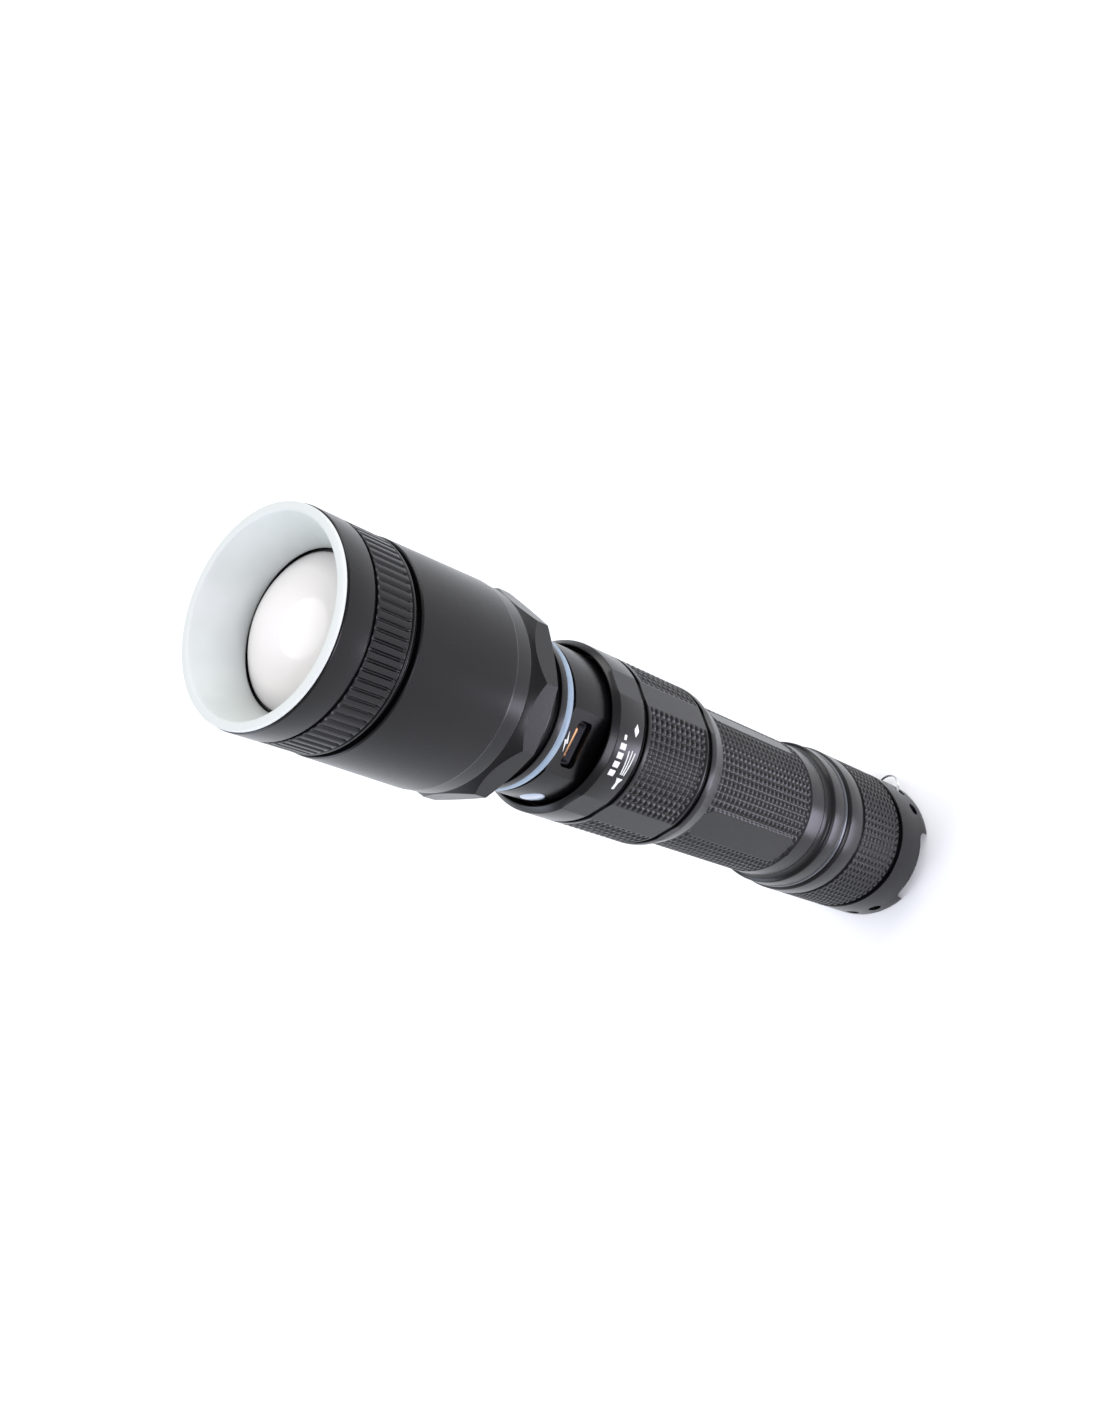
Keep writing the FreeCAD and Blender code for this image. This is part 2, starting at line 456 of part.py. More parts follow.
# The tail cap: a deep cup for the button, three teeth to stand on and paired cord holes in each tooth.
cap = turned("tail_cap", [
    ("cup_r", "web_low"), ("cup_r", "0.5"), ("cup_edge_r", "0"), ("cap_edge_r", "0"), ("cap_r", "0.35"),
    ("cap_r", "cap_tail_top"), ("cap_groove_r", "cap_tail_top"), ("cap_groove_r", "cap_knurl_low"),
    ("cap_r", "cap_knurl_low"), ("cap_r", "cap_knurl_top"), ("cap_edge_r", "cap_knurl_top"),
    ("cap_edge_r", "cap_band_low"), ("cap_r", "cap_band_low"), ("cap_r", "cap_corner"), ("cap_edge_r", "cap_top"),
    ("cap_bore_r", "cap_top"), ("cap_bore_r", "cap_bore_low"), ("switch_bore_r", "cap_bore_low"),
    ("switch_bore_r", "web_top"), ("web_hole_r", "web_top"), ("web_hole_r", "web_low")])
recess = new_sketch(cap, "recess_outline", "XZ_Plane")
outline(recess, [
    ("0 - recess_flare", "-1"), ("recess_flare", "-1"), ("recess_flare", "recess_top - recess_corner"),
    ("recess_half", "recess_top"), ("0 - recess_half", "recess_top"),
    ("0 - recess_flare", "recess_top - recess_corner")])
round_about(cap, "recesses", cut(cap, "recess", recess, 20.0, True), 3)
holes = new_sketch(cap, "cord_hole_outline", "XZ_Plane")
for index, centre in enumerate(("cord_hole_x", "0 - cord_hole_x")):
    spot = FreeCAD.Vector(size_of(centre), SIZES["cord_hole_z"], 0)
    holes.addGeometry(Part.Circle(spot, FreeCAD.Vector(0, 0, 1), SIZES["cord_hole_r"]))
    hole_size = holes.addConstraint(Sketcher.Constraint("Radius", index, SIZES["cord_hole_r"]))
    holes.setExpression("Constraints[" + str(hole_size) + "]", "dims.cord_hole_r")
    fix_point(holes, index, 3, "X", centre)
    fix_point(holes, index, 3, "Y", "cord_hole_z")
round_about(cap, "cord_holes", cut(cap, "cord_hole_pair", holes, 20.0, False), 3)
CAP_TURN = 6.0
turn_body(cap, CAP_TURN)

# A small wire ring goes in through one cord hole and back round the side of that tooth.
def on_wall(across, level):
    """A point on the middle of the cap's wall, seen from the tooth's own direction."""
    return FreeCAD.Vector(-across, math.sqrt(SIZES["wall_middle_r"] ** 2 - across ** 2), level)


hole_point = on_wall(SIZES["cord_hole_x"], SIZES["cord_hole_z"])
side_point = on_wall(SIZES["ring_side_x"], SIZES["ring_side_z"])
ring_line = side_point.sub(hole_point)
ring_centre = hole_point.add(side_point).multiply(0.5)
ring_normal = FreeCAD.Vector(ring_centre.x, ring_centre.y, 0).cross(ring_line)
tooth_way = FreeCAD.Rotation(FreeCAD.Vector(0, 0, 1), CAP_TURN - 120.0)
ring_tilt = FreeCAD.Rotation(FreeCAD.Vector(0, 0, 1), ring_normal)
wire_ring = doc.addObject("Part::Torus", "cord_ring")
wire_ring.Radius1 = ring_line.Length / 2
wire_ring.setExpression("Radius2", "dims.cord_wire_r")
wire_ring.Placement = FreeCAD.Placement(tooth_way.multVec(ring_centre), tooth_way.multiply(ring_tilt))
node(wire_ring, "cord_ring")

# The tail button and the switch behind it.
boot_ball = doc.addObject("Part::Sphere", "boot_ball")
boot_ball.setExpression("Radius", "dims.boot_ball")
boot_ball.setExpression("Placement.Base.z", "dims.boot_low + dims.boot_ball")
node(joined("button_boot", "MultiCommon", boot_ball, disc("boot_blank", "boot_r", "boot_low", "boot_top")),
     "button_boot")
node(disc("button_stem", "stem_r", "boot_top", "stem_top"), "button_stem")
ring("boot_skirt", "skirt_in", "switch_bore_r", "web_top", "skirt_top")
node(block("tail_switch", "switch_half", "0 - switch_half", "switch_half", "switch_low", "switch_top"),
     "tail_switch")
node(disc("tail_board", "cap_bore_r", "switch_top", "tail_board_top"), "tail_board")
ring("tail_retainer", "retainer_in", "cap_bore_r", "tail_board_top", "retainer_top")

# The coil spring that presses the cell forward is a wire swept along a helix, so it is made in code.
spring_rise = SIZES["spring_top"] - SIZES["tail_board_top"] - 2 * SIZES["spring_wire_r"]
spring_path = Part.makeHelix(SIZES["spring_pitch"], spring_rise, SIZES["spring_r"])
spring_wire = Part.Wire([Part.makeCircle(
    SIZES["spring_wire_r"], FreeCAD.Vector(SIZES["spring_r"], 0, 0), FreeCAD.Vector(0, 1, 0))])
spring_shape = Part.Wire(spring_path).makePipeShell([spring_wire], True, True)
spring = doc.addObject("Part::Feature", "tail_spring")
spring.Shape = spring_shape
spring.Placement = FreeCAD.Placement(
    FreeCAD.Vector(0, 0, SIZES["tail_board_top"] + SIZES["spring_wire_r"]), FreeCAD.Rotation())
node(spring, "tail_spring")

doc.recompute()
for item in doc.Objects:
    if "Invalid" in item.State or "Error" in item.State:
        raise RuntimeError(item.Name + " did not rebuild")
os.makedirs("parts", exist_ok=True)
for piece in NODES:
    if piece.Shape.isNull() or not piece.Shape.isValid():
        raise RuntimeError(piece.Label + " has no valid shape")
    piece.Shape.exportStep("parts/" + piece.Label + ".step")
    print(piece.Label, round(piece.Shape.Volume, 2), len(piece.Shape.Solids))
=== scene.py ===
"""Visual model of a rotary-focus flashlight: turned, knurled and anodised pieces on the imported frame."""
import json
import math

import bpy
import numpy as np
from mathutils import Matrix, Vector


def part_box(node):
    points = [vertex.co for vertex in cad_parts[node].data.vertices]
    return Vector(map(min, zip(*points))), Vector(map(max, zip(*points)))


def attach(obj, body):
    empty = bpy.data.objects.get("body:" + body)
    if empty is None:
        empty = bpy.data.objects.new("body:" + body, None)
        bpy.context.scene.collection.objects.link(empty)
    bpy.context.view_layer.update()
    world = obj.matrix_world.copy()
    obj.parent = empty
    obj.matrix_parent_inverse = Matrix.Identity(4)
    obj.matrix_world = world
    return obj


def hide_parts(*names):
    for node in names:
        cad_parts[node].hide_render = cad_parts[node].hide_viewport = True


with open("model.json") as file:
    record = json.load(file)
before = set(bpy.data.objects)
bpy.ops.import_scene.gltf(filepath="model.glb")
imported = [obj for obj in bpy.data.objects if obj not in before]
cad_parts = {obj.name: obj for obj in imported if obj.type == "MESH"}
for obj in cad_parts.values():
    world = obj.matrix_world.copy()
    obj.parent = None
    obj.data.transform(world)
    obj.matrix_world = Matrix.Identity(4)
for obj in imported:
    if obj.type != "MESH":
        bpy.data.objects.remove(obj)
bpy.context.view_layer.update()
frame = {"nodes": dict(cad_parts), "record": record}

bl_info = {
    "name": "Rotary Focus Flashlight",
    "version": (1, 0, 0),
    "blender": (4, 5, 0),
    "location": "View3D > Sidebar > Flashlight",
    "description": "Builds the turned, knurled and anodised pieces of a rotary-focus flashlight",
    "category": "Add Mesh",
}

MM = 0.001
PORT_SIDE = -90.0       # direction of the charging port round the axis, in degrees
LIGHT_SIDE = -148.0     # direction of the indicator light
NECK_RADIUS = 12.3      # millimetres
SLEEVE_RADIUS = 14.05   # the sleeve and the tail cap are turned to one size
PAD_SLOPE = 0.62        # share of a knurl's half pitch that its slope takes

# name, place, aim, own x direction if not level, width and height (None for a sun), power, colour;
# the strip lies on the table in front, shines up at the torch and draws the long streak on its side
LAMPS = (
    ("top_dome", (0.0, 0.45, 0.85), (0, 0.1, 0.0), None, None, 1.35, "#FFFFFF"),
    ("left_softbox", (-0.60, 0.15, 0.30), (0, 0, 0.08), None, (0.35, 0.35), 2.2, "#E4EEFF"),
    ("right_softbox", (0.60, 0.10, 0.30), (0, 0, 0.08), None, (0.35, 0.35), 1.8, "#FFFFFF"),
    ("front_card", (0.07, -0.60, 0.37), (0, 0, 0.07), None, (0.30, 0.30), 2.6, "#F4F0FF"),
    ("table_strip", (0.018, -0.078, 0.001), (0.018, -0.078, 0.1), (0.974, 0.225, 0.0), (0.024, 0.095), 0.045,
     "#EDE9FF"))


# ---------------------------------------------------------------- sizes read from the frame

def span(node):
    """(outer radius, lowest z, highest z) of a round CAD node, in millimetres."""
    low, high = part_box(node)
    return (high[0] - low[0]) / 2 / MM, low[2] / MM, high[2] / MM


def linear(code):
    """An sRGB hex colour as the linear RGBA that the shaders take."""
    parts = np.array([int(code[i:i + 2], 16) for i in (1, 3, 5)]) / 255.0
    flat = np.where(parts <= 0.04045, parts / 12.92, ((parts + 0.055) / 1.055) ** 2.4)
    return (float(flat[0]), float(flat[1]), float(flat[2]), 1.0)


# ---------------------------------------------------------------- surfaces

def place_mesh(name, points, faces, body=None, stands_for=(), slot=None, look=None, marks=None):
    """Puts an array of points in millimetres and an array of faces into an object that rides on a body.

    Its finish is the look if one is named, or else the one its slot is named for.
    """
    mesh = bpy.data.meshes.new(name)
    mesh.from_pydata((np.asarray(points) * MM).tolist(), [], faces)
    mesh.polygons.foreach_set("use_smooth", np.ones(len(mesh.polygons), dtype=bool))
    if marks is not None:
        # pad marks: the share of the lighter pad colour, wear together with painted light; lower values leave
        # painted shade in the grooves
        layer = mesh.attributes.new("pad_wear_and_painted_light", "FLOAT", "POINT")
        layer.data.foreach_set("value", np.asarray(marks, dtype=np.float32).ravel())
    mesh.update()
    piece = bpy.data.objects.new(name, mesh)
    bpy.context.scene.collection.objects.link(piece)
    if look or slot:
        mesh.materials.append(finish(look or slot))
    if body is not None:
        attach(piece, body)
    if stands_for:
        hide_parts(*stands_for)
    return piece


def rounded(corners, radius=0.12, steps=3):
    """A closed profile whose corners are eased: each gives way to a short parabola between its sides."""
    corners = np.asarray(corners, dtype=float)
    before = np.roll(corners, 1, axis=0) - corners
    after = np.roll(corners, -1, axis=0) - corners
    reach_b = np.minimum(radius, 0.45 * np.linalg.norm(before, axis=1))[:, None]
    reach_a = np.minimum(radius, 0.45 * np.linalg.norm(after, axis=1))[:, None]
    start = corners + before / np.linalg.norm(before, axis=1)[:, None] * reach_b
    end = corners + after / np.linalg.norm(after, axis=1)[:, None] * reach_a
    t = np.linspace(0, 1, steps + 1)[None, :, None]
    arc = (1 - t) ** 2 * start[:, None] + 2 * t * (1 - t) * corners[:, None] + t ** 2 * end[:, None]
    return arc.reshape(-1, 2)


def finer(profile, low, high, step):
    """The same profile with each rising side between two levels cut into rows a step apart."""
    rows = []
    count = len(profile)
    for index in range(count):
        a, b = profile[index], profile[(index + 1) % count]
        rows.append(a[None])
        rising = b[1] - a[1] > step and a[1] >= low - 0.3 and b[1] <= high + 0.3
        if rising:
            pieces = int(math.ceil((b[1] - a[1]) / step))
            t = np.linspace(0, 1, pieces + 1)[1:-1, None]
            rows.append(a + (b - a) * t)
    return np.concatenate(rows)


def woven(rows, columns, closed=False):
    """Quads of a grid whose columns run round; if closed, its last row meets its first."""
    i, j = np.meshgrid(np.arange(rows if closed else rows - 1), np.arange(columns), indexing="ij")
    up, on = (i + 1) % rows, (j + 1) % columns
    quads = np.stack([i * columns + j, i * columns + on, up * columns + on, up * columns + j], axis=-1)
    return quads.reshape(-1, 4).tolist()


def stacked(rings):
    """Points and faces of a solid made of like outlines, an array of rings of points, closed at both ends."""
    rows, columns = rings.shape[:2]
    ends = [list(range(columns))[::-1], list(range((rows - 1) * columns, rows * columns))]
    return rings.reshape(-1, 3), woven(rows, columns) + ends


def lathe(profile, angles, relief=None):
    """Points and faces of a closed profile carried once round Z.

    The point of row i and column j is (R cos a, R sin a, z); relief gives R, z and a mark from (r, z, a), the
    share of the lighter pad colour: wear together with painted light on pads and rib tops.
    """
    r = profile[:, 0][:, None] + 0 * angles[None]
    z = profile[:, 1][:, None] + 0 * angles[None]
    a = angles[None] + 0 * r
    mark = np.zeros_like(r)
    if relief is not None:
        r, z, mark = relief(r, z, a)
    points = np.stack([r * np.cos(a), r * np.sin(a), z], axis=-1).reshape(-1, 3)
    return points, woven(*r.shape, closed=True), mark.ravel()


def capped(profile, angles, relief=None):
    """Points and faces of an open profile from axis to axis, closed with a fan at each pole."""
    inner = profile[1:-1]
    points, _, mark = lathe(inner, angles, relief)
    rows, columns = len(inner), len(angles)
    first, last = rows * columns, rows * columns + 1
    k = np.arange(columns)
    nxt = (k + 1) % columns
    low_fan = np.stack([np.full(columns, first), nxt, k], axis=-1)
    high_fan = np.stack([np.full(columns, last), (rows - 1) * columns + k, (rows - 1) * columns + nxt],
                        axis=-1)
    poles = np.array([[0, 0, profile[0, 1]], [0, 0, profile[-1, 1]]])
    faces = woven(rows, columns) + low_fan.tolist() + high_fan.tolist()
    return np.concatenate([points, poles]), faces, np.concatenate([mark, [0.0, 0.0]])


def around(count):
    """Evenly spaced angles once round."""
    return np.linspace(0, 2 * math.pi, count, endpoint=False)


def pipe(path, radius, sides):
    """Points and faces of a round section carried along an open path; each ring stands square to the path.

    The side vectors are the path's normal to Z and their cross product with the path's direction.
    """
    ahead = np.roll(path, -1, axis=0) - np.roll(path, 1, axis=0)
    ahead[0], ahead[-1] = path[1] - path[0], path[-1] - path[-2]
    ahead /= np.linalg.norm(ahead, axis=1)[:, None]
    side = np.cross(ahead, [0, 0, 1.0])
    side /= np.linalg.norm(side, axis=1)[:, None]
    lift = np.cross(side, ahead)
    t = around(sides)
    ring = np.cos(t)[None, :, None] * side[:, None] + np.sin(t)[None, :, None] * lift[:, None]
    return stacked(path[:, None] + radius * ring)


def rounded_rectangle(half_x, half_y, edge, count):
    """x and y of a rectangle with round corners: a small circle pushed out towards its four corners."""
    t = around(count)
    return (np.sign(np.cos(t)) * (half_x - edge) + edge * np.cos(t),
            np.sign(np.sin(t)) * (half_y - edge) + edge * np.sin(t))


def slab(half_x, half_y, low, high, edge):
    """A block with eased edges: a rounded rectangle stacked in four rings and closed at both ends."""
    x, y = rounded_rectangle(half_x, half_y, edge, 32)
    ease = edge * 0.6
    inset = 1 - np.array([ease, 0, 0, ease])[:, None] / min(half_x, half_y)
    level = np.array([low, low + ease, high - ease, high])[:, None]
    return stacked(np.stack([x * inset, y * inset, level + 0 * x], axis=-1))


def turned_about_z(points, degrees):
    """The points turned about Z."""
    c, s = math.cos(math.radians(degrees)), math.sin(math.radians(degrees))
    return np.asarray(points) @ np.array([[c, s, 0], [-s, c, 0], [0, 0, 1.0]])


def facing(points, degrees, radius, level):
    """Carries points from a flat plan to the side of the torch: x runs round, y runs up and z runs out."""
    p = np.asarray(points)
    out = np.stack([radius + p[:, 2], p[:, 0], level + p[:, 1]], axis=-1)
    return turned_about_z(out, degrees)


def machined(piece, cutters, sharp=28):
    """Cuts closed shapes out of a piece, then keeps the new edges crisp."""
    bpy.context.view_layer.update()
    for points, faces in cutters:
        tool_mesh = bpy.data.meshes.new("cutter")
        tool_mesh.from_pydata((np.asarray(points) * MM).tolist(), [], faces)
        tool = bpy.data.objects.new("cutter", tool_mesh)
        bpy.context.scene.collection.objects.link(tool)
        change = piece.modifiers.new("cut", "BOOLEAN")
        change.operation = "DIFFERENCE"
        change.solver = "EXACT"
        change.object = tool
        depsgraph = bpy.context.evaluated_depsgraph_get()
        result = bpy.data.meshes.new_from_object(piece.evaluated_get(depsgraph))
        piece.modifiers.remove(change)
        old = piece.data
        piece.data = result
        bpy.data.meshes.remove(old)
        bpy.data.objects.remove(tool)
        bpy.data.meshes.remove(tool_mesh)
    piece.data.set_sharp_from_angle(angle=math.radians(sharp))
    return piece


# ---------------------------------------------------------------- finishes

def add(tree, kind, settings=None, inputs=None):
    """Adds one shader node with its settings, and sets or links its inputs."""
    made = tree.nodes.new(kind)
    for key, value in (settings or {}).items():
        setattr(made, key, value)
    for key, value in (inputs or {}).items():
        if isinstance(value, bpy.types.NodeSocket):
            tree.links.new(value, made.inputs[key])
        else:
            made.inputs[key].default_value = value
    return made


def blank(name):
    """A material with an empty tree and its output."""
    material = bpy.data.materials.get(name) or bpy.data.materials.new(name)
    material.use_nodes = True
    material.node_tree.nodes.clear()
    return material, material.node_tree


def finish_with(tree, shader):
    """Joins the shader to the material's output."""
    add(tree, "ShaderNodeOutputMaterial", inputs={"Surface": shader.outputs[0]})


def grain(tree, size_mm, detail=2.0):
    """Noise on object coordinates whose grains are about this many millimetres across."""
    place = add(tree, "ShaderNodeTexCoord")
    return add(tree, "ShaderNodeTexNoise", inputs={
        "Vector": place.outputs["Object"], "Scale": 1000.0 / size_mm, "Detail": detail, "Roughness": 0.5})


def ramp(tree, value, low, high, first, second):
    """Turns a value between low and high into a colour between two colours."""
    limit = add(tree, "ShaderNodeMapRange", inputs={"Value": value, "From Min": low, "From Max": high})
    return add(tree, "ShaderNodeMix", {"data_type": "RGBA"}, {
        "Factor": limit.outputs["Result"], "A": first, "B": second})


def anodised():
    """Satin black anodised aluminium, bead-blasted before it was dyed.

    The blast leaves a fine even grain that spreads highlights; knurl pads and rib tops take a dark grey,
    partly wear on handled high spots and partly painted light, so the grooves stay darker as painted shade.
    """
    material, tree = blank("black_anodised")
    blast = grain(tree, 0.28, 3.0)
    cloud = grain(tree, 9.0, 2.0)
    base = ramp(tree, cloud.outputs["Fac"], 0.35, 0.65, dye("anodised"), dye("anodised_light"))
    # painted light and shade: pads and rib tops mix towards the lighter pad colour, wear together with
    # painted light, while the grooves keep the darker dye as painted shade
    pad_wear_and_painted_light = add(tree, "ShaderNodeAttribute", {"attribute_name": "pad_wear_and_painted_light"})
    pad_wear_and_shade_tone = add(tree, "ShaderNodeMix", {"data_type": "RGBA"}, {
        "Factor": pad_wear_and_painted_light.outputs["Fac"], "A": base.outputs["Result"], "B": dye("anodised_pad_wear_and_light")})
    sheen = add(tree, "ShaderNodeMapRange", inputs={
        "Value": cloud.outputs["Fac"], "To Min": 0.23, "To Max": 0.32})
    bump = add(tree, "ShaderNodeBump", inputs={
        "Height": blast.outputs["Fac"], "Strength": 0.22, "Distance": 0.00004})
    shader = add(tree, "ShaderNodeBsdfPrincipled", inputs={
        "Base Color": pad_wear_and_shade_tone.outputs["Result"], "Roughness": sheen.outputs["Result"],
        "Specular IOR Level": 0.27, "Normal": bump.outputs["Normal"]})
    finish_with(tree, shader)
    return material


def white_paint():
    """Satin white powder coat on the cone: cool grey white inside; the rolled lip takes its own colour, a
    painted highlight for the light that the rim catches.
    """
    material, tree = blank("white_bezel")
    peel = grain(tree, 0.9, 1.0)
    inside = ramp(tree, grain(tree, 6.0).outputs["Fac"], 0.3, 0.7, dye("cone"), dye("cone_shade"))
    place = add(tree, "ShaderNodeTexCoord")
    split = add(tree, "ShaderNodeSeparateXYZ", inputs={"Vector": place.outputs["Object"]})
    # painted highlight: above this level the paint turns to the lip colour, standing in for the light that
    # the rolled lip catches
    lip = add(tree, "ShaderNodeMapRange", inputs={"Value": split.outputs["Z"], "From Min": 0.1640,
                                                  "From Max": 0.1645})
    tone = add(tree, "ShaderNodeMix", {"data_type": "RGBA"}, {
        "Factor": lip.outputs["Result"], "A": inside.outputs["Result"], "B": dye("lip")})
    bump = add(tree, "ShaderNodeBump", inputs={
        "Height": peel.outputs["Fac"], "Strength": 0.08, "Distance": 0.00005})
    shader = add(tree, "ShaderNodeBsdfPrincipled", inputs={
        "Base Color": tone.outputs["Result"], "Roughness": 0.42, "Specular IOR Level": 0.3,
        "Normal": bump.outputs["Normal"]})
    finish_with(tree, shader)
    return material


def lit_lens():
    """Moulded optical lens with the emitter on: bright milky white, dimmer at its edge, glossy skin."""
    material, tree = blank("lens_glass")
    place = add(tree, "ShaderNodeTexCoord")
    split = add(tree, "ShaderNodeSeparateXYZ", inputs={"Vector": place.outputs["Object"]})
    square_x = add(tree, "ShaderNodeMath", {"operation": "MULTIPLY"},
                   {0: split.outputs["X"], 1: split.outputs["X"]})
    square_y = add(tree, "ShaderNodeMath", {"operation": "MULTIPLY_ADD"}, {
        0: split.outputs["Y"], 1: split.outputs["Y"], 2: square_x.outputs[0]})
    away = add(tree, "ShaderNodeMath", {"operation": "SQRT"}, {0: square_y.outputs[0]})
    tone = ramp(tree, away.outputs[0], 0.0082, 0.0112, dye("lens"), dye("lens_edge"))
    glow = add(tree, "ShaderNodeMapRange", inputs={
        "Value": away.outputs[0], "From Min": 0.007, "From Max": 0.0112, "To Min": 0.12, "To Max": 0.02})
    shader = add(tree, "ShaderNodeBsdfPrincipled", inputs={
        "Base Color": tone.outputs["Result"], "Roughness": 0.06, "IOR": 1.49,
        "Emission Color": tone.outputs["Result"], "Emission Strength": glow.outputs["Result"]})
    finish_with(tree, shader)
    return material


def moulded(name, first, second, roughness, grain_mm=0.5, strength=0.12, coat=0.0, glow=0.0):
    """Rubber, silicone, plastic or board: a moulded surface of two close tones with a fine skin texture."""
    material, tree = blank(name)
    skin = grain(tree, grain_mm, 2.0)
    first, second = (linear(code) if isinstance(code, str) else code for code in (first, second))
    tone = ramp(tree, grain(tree, grain_mm * 8).outputs["Fac"], 0.3, 0.7, first, second)
    bump = add(tree, "ShaderNodeBump", inputs={
        "Height": skin.outputs["Fac"], "Strength": strength, "Distance": 0.00005})
    settings = {"Base Color": tone.outputs["Result"], "Roughness": roughness,
                "Normal": bump.outputs["Normal"],
                "Coat Weight": coat, "Coat Roughness": 0.12}
    if glow:
        settings["Emission Color"] = tone.outputs["Result"]
        settings["Emission Strength"] = glow
    shader = add(tree, "ShaderNodeBsdfPrincipled", inputs=settings)
    finish_with(tree, shader)
    return material


def metal(name, first, second, roughness, line_mm=0.12):
    """Bare turned metal: fine tool lines round the axis spread its highlights into bands."""
    material, tree = blank(name)
    place = add(tree, "ShaderNodeTexCoord")
    stretch = add(tree, "ShaderNodeMapping", inputs={
        "Vector": place.outputs["Object"], "Scale": (60.0, 60.0, 1000.0 / line_mm)})
    lines = add(tree, "ShaderNodeTexNoise", inputs={"Vector": stretch.outputs["Vector"], "Scale": 1.0,
                                                    "Detail": 2.0})
    tone = ramp(tree, lines.outputs["Fac"], 0.3, 0.7, linear(first), linear(second))
    bump = add(tree, "ShaderNodeBump", inputs={
        "Height": lines.outputs["Fac"], "Strength": 0.15, "Distance": 0.00002})
    shader = add(tree, "ShaderNodeBsdfPrincipled", inputs={
        "Base Color": tone.outputs["Result"], "Metallic": 1.0, "Roughness": roughness,
        "Normal": bump.outputs["Normal"]})
    finish_with(tree, shader)
    return material


FINISHES = {}


def finish(name):
    """The finish of that name, made once."""
    if not FINISHES:
        FINISHES.update({
            "black_anodised": anodised(),
            "white_bezel": white_paint(),
            "lens_glass": lit_lens(),
            "bare_aluminium": metal("bare_aluminium", "#B9BBBF", "#CBCDD0", 0.30),
            "steel": metal("bright_steel", "#C9CBCE", "#E2E3E5", 0.22),
            # painted shade: the socket's nickel-plated steel gets a near-black tone for the shade inside the
            # slot
            "socket_steel_painted_shade": metal("socket_steel_with_painted_shade", "#26262A", "#303034", 0.45),
            "brass": metal("turned_brass", "#C39A52", "#D8B26A", 0.28),
            "gold_contact": metal("gold_plating", "#C98E55", "#E6B68C", 0.32),
            "rubber": moulded("black_nitrile_rubber", "#121214", "#1A1A1C", 0.62, 0.35),
            "tail_rubber": moulded("greased_nitrile_ring", "#12151D", "#1B2130", 0.30, 0.6, 0.05, coat=0.4),
            "pale_silicone": moulded("pale_silicone", dye("seal"), dye("seal_light"), 0.42, 0.4, 0.06,
            coat=0.1),
            "indicator": moulded("frosted_indicator_acrylic", dye("indicator"), dye("indicator_light"), 0.22,
            0.5, 0.03,
                                coat=0.5),
            "white_board": moulded("white_solder_mask", "#E2E0DA", "#D8D6D0", 0.5, 0.4),
            "circuit_board": moulded("green_solder_mask", "#1C5A36", "#22663E", 0.45, 0.4, coat=0.3),
            "black_plastic": moulded("moulded_black_nylon", "#1B1B1C", "#232324", 0.5, 0.3),
            "phosphor": moulded("yellow_phosphor", "#F2D45A", "#EBCB48", 0.5, 0.2, glow=0.6),
            "emitter_dome": moulded("clear_emitter_silicone", "#F4F2E2", "#EDEBDC", 0.1, 0.4, 0.02, glow=0.8),
            "cell_wrap": moulded("cell_shrink_sleeve", "#1F4E86", "#24588F", 0.3, 0.8, 0.05, coat=0.3),
            "print": moulded("white_marking_ink", "#E4E4E2", "#D8D8D6", 0.55, 0.2, 0.05),
        })
    return FINISHES[name]


# ---------------------------------------------------------------- reliefs

def pulse(x, slope):
    """Clipped triangle wave of x: 0 at whole numbers, 1 midway; a slope takes that share of a half step."""
    return np.clip((1 - np.abs(2 * (x % 1.0) - 1)) / slope, 0, 1)


def pads(outer):
    """How many knurl pads go round that radius, a multiple of four."""
    return int(round(2 * math.pi * outer / sizes().knurl_pitch / 4)) * 4


def knurl(r, z, a, low, high, outer):
    """Square knurling between two levels of an outer wall: grooves round and along leave flat-topped pads.

    The height is the lower of two clipped triangle waves, along Z and round the axis; it is 1 on a pad.
    """
    rows = max(1, round((high - low) / sizes().knurl_pitch))
    wave_z = pulse((z - low) / (high - low) * rows, PAD_SLOPE)
    wave_a = pulse(a / (2 * math.pi) * pads(outer), PAD_SLOPE)
    here = (z > low) & (z < high) & (np.abs(r - outer) < 0.05)
    return np.where(here, np.minimum(wave_z, wave_a), 1.0), here


def sizes():
    """The sizes that the sidebar shows."""
    return bpy.context.scene.flashlight


def dye(name):
    """A colour from the sidebar as linear RGBA."""
    return (*getattr(bpy.context.scene.flashlight_colours, name), 1.0)


def colour(name, description, code):
    """A colour property whose default is given in sRGB hex."""
    return bpy.props.FloatVectorProperty(
        name=name, description=description, subtype="COLOR", size=3, min=0.0, max=1.0,
        default=linear(code)[:3])


class FlashlightColours(bpy.types.PropertyGroup):
    """Colours that a user would change."""
    anodised: colour("Anodising", "Darker tone of the dyed aluminium", "#060506")
    anodised_light: colour("Anodising, light", "Lighter tone of the dyed aluminium", "#0B0A0C")
    # colour of knurl pads and rib tops: wear together with painted light, the grooves staying darker as
    # painted shade
    anodised_pad_wear_and_light: colour("Anodising, rubbed", "Dyed aluminium on handled high spots", "#121113")
    cone: colour("Cone", "Paint inside the bezel cone", "#CDD1CE")
    cone_shade: colour("Cone, shade", "Deeper tone of the paint inside the cone", "#C6CBC7")
    # painted highlight: the lip colour stands in for the light caught by the rolled rim
    lip: colour("Lip", "Paint on the front lip", "#CBCECC")
    lens: colour("Lens", "Middle of the lit lens", "#DCD8D6")
    lens_edge: colour("Lens, edge", "Outer part of the lit lens", "#BDB8BA")
    seal: colour("Seal", "Silicone ring below the head", "#74869A")
    seal_light: colour("Seal, light", "Lighter tone of the silicone ring", "#8496A6")
    indicator: colour("Indicator", "Charging light", "#9FAABA")
    indicator_light: colour("Indicator, light", "Lighter tone of the charging light", "#B4BECB")


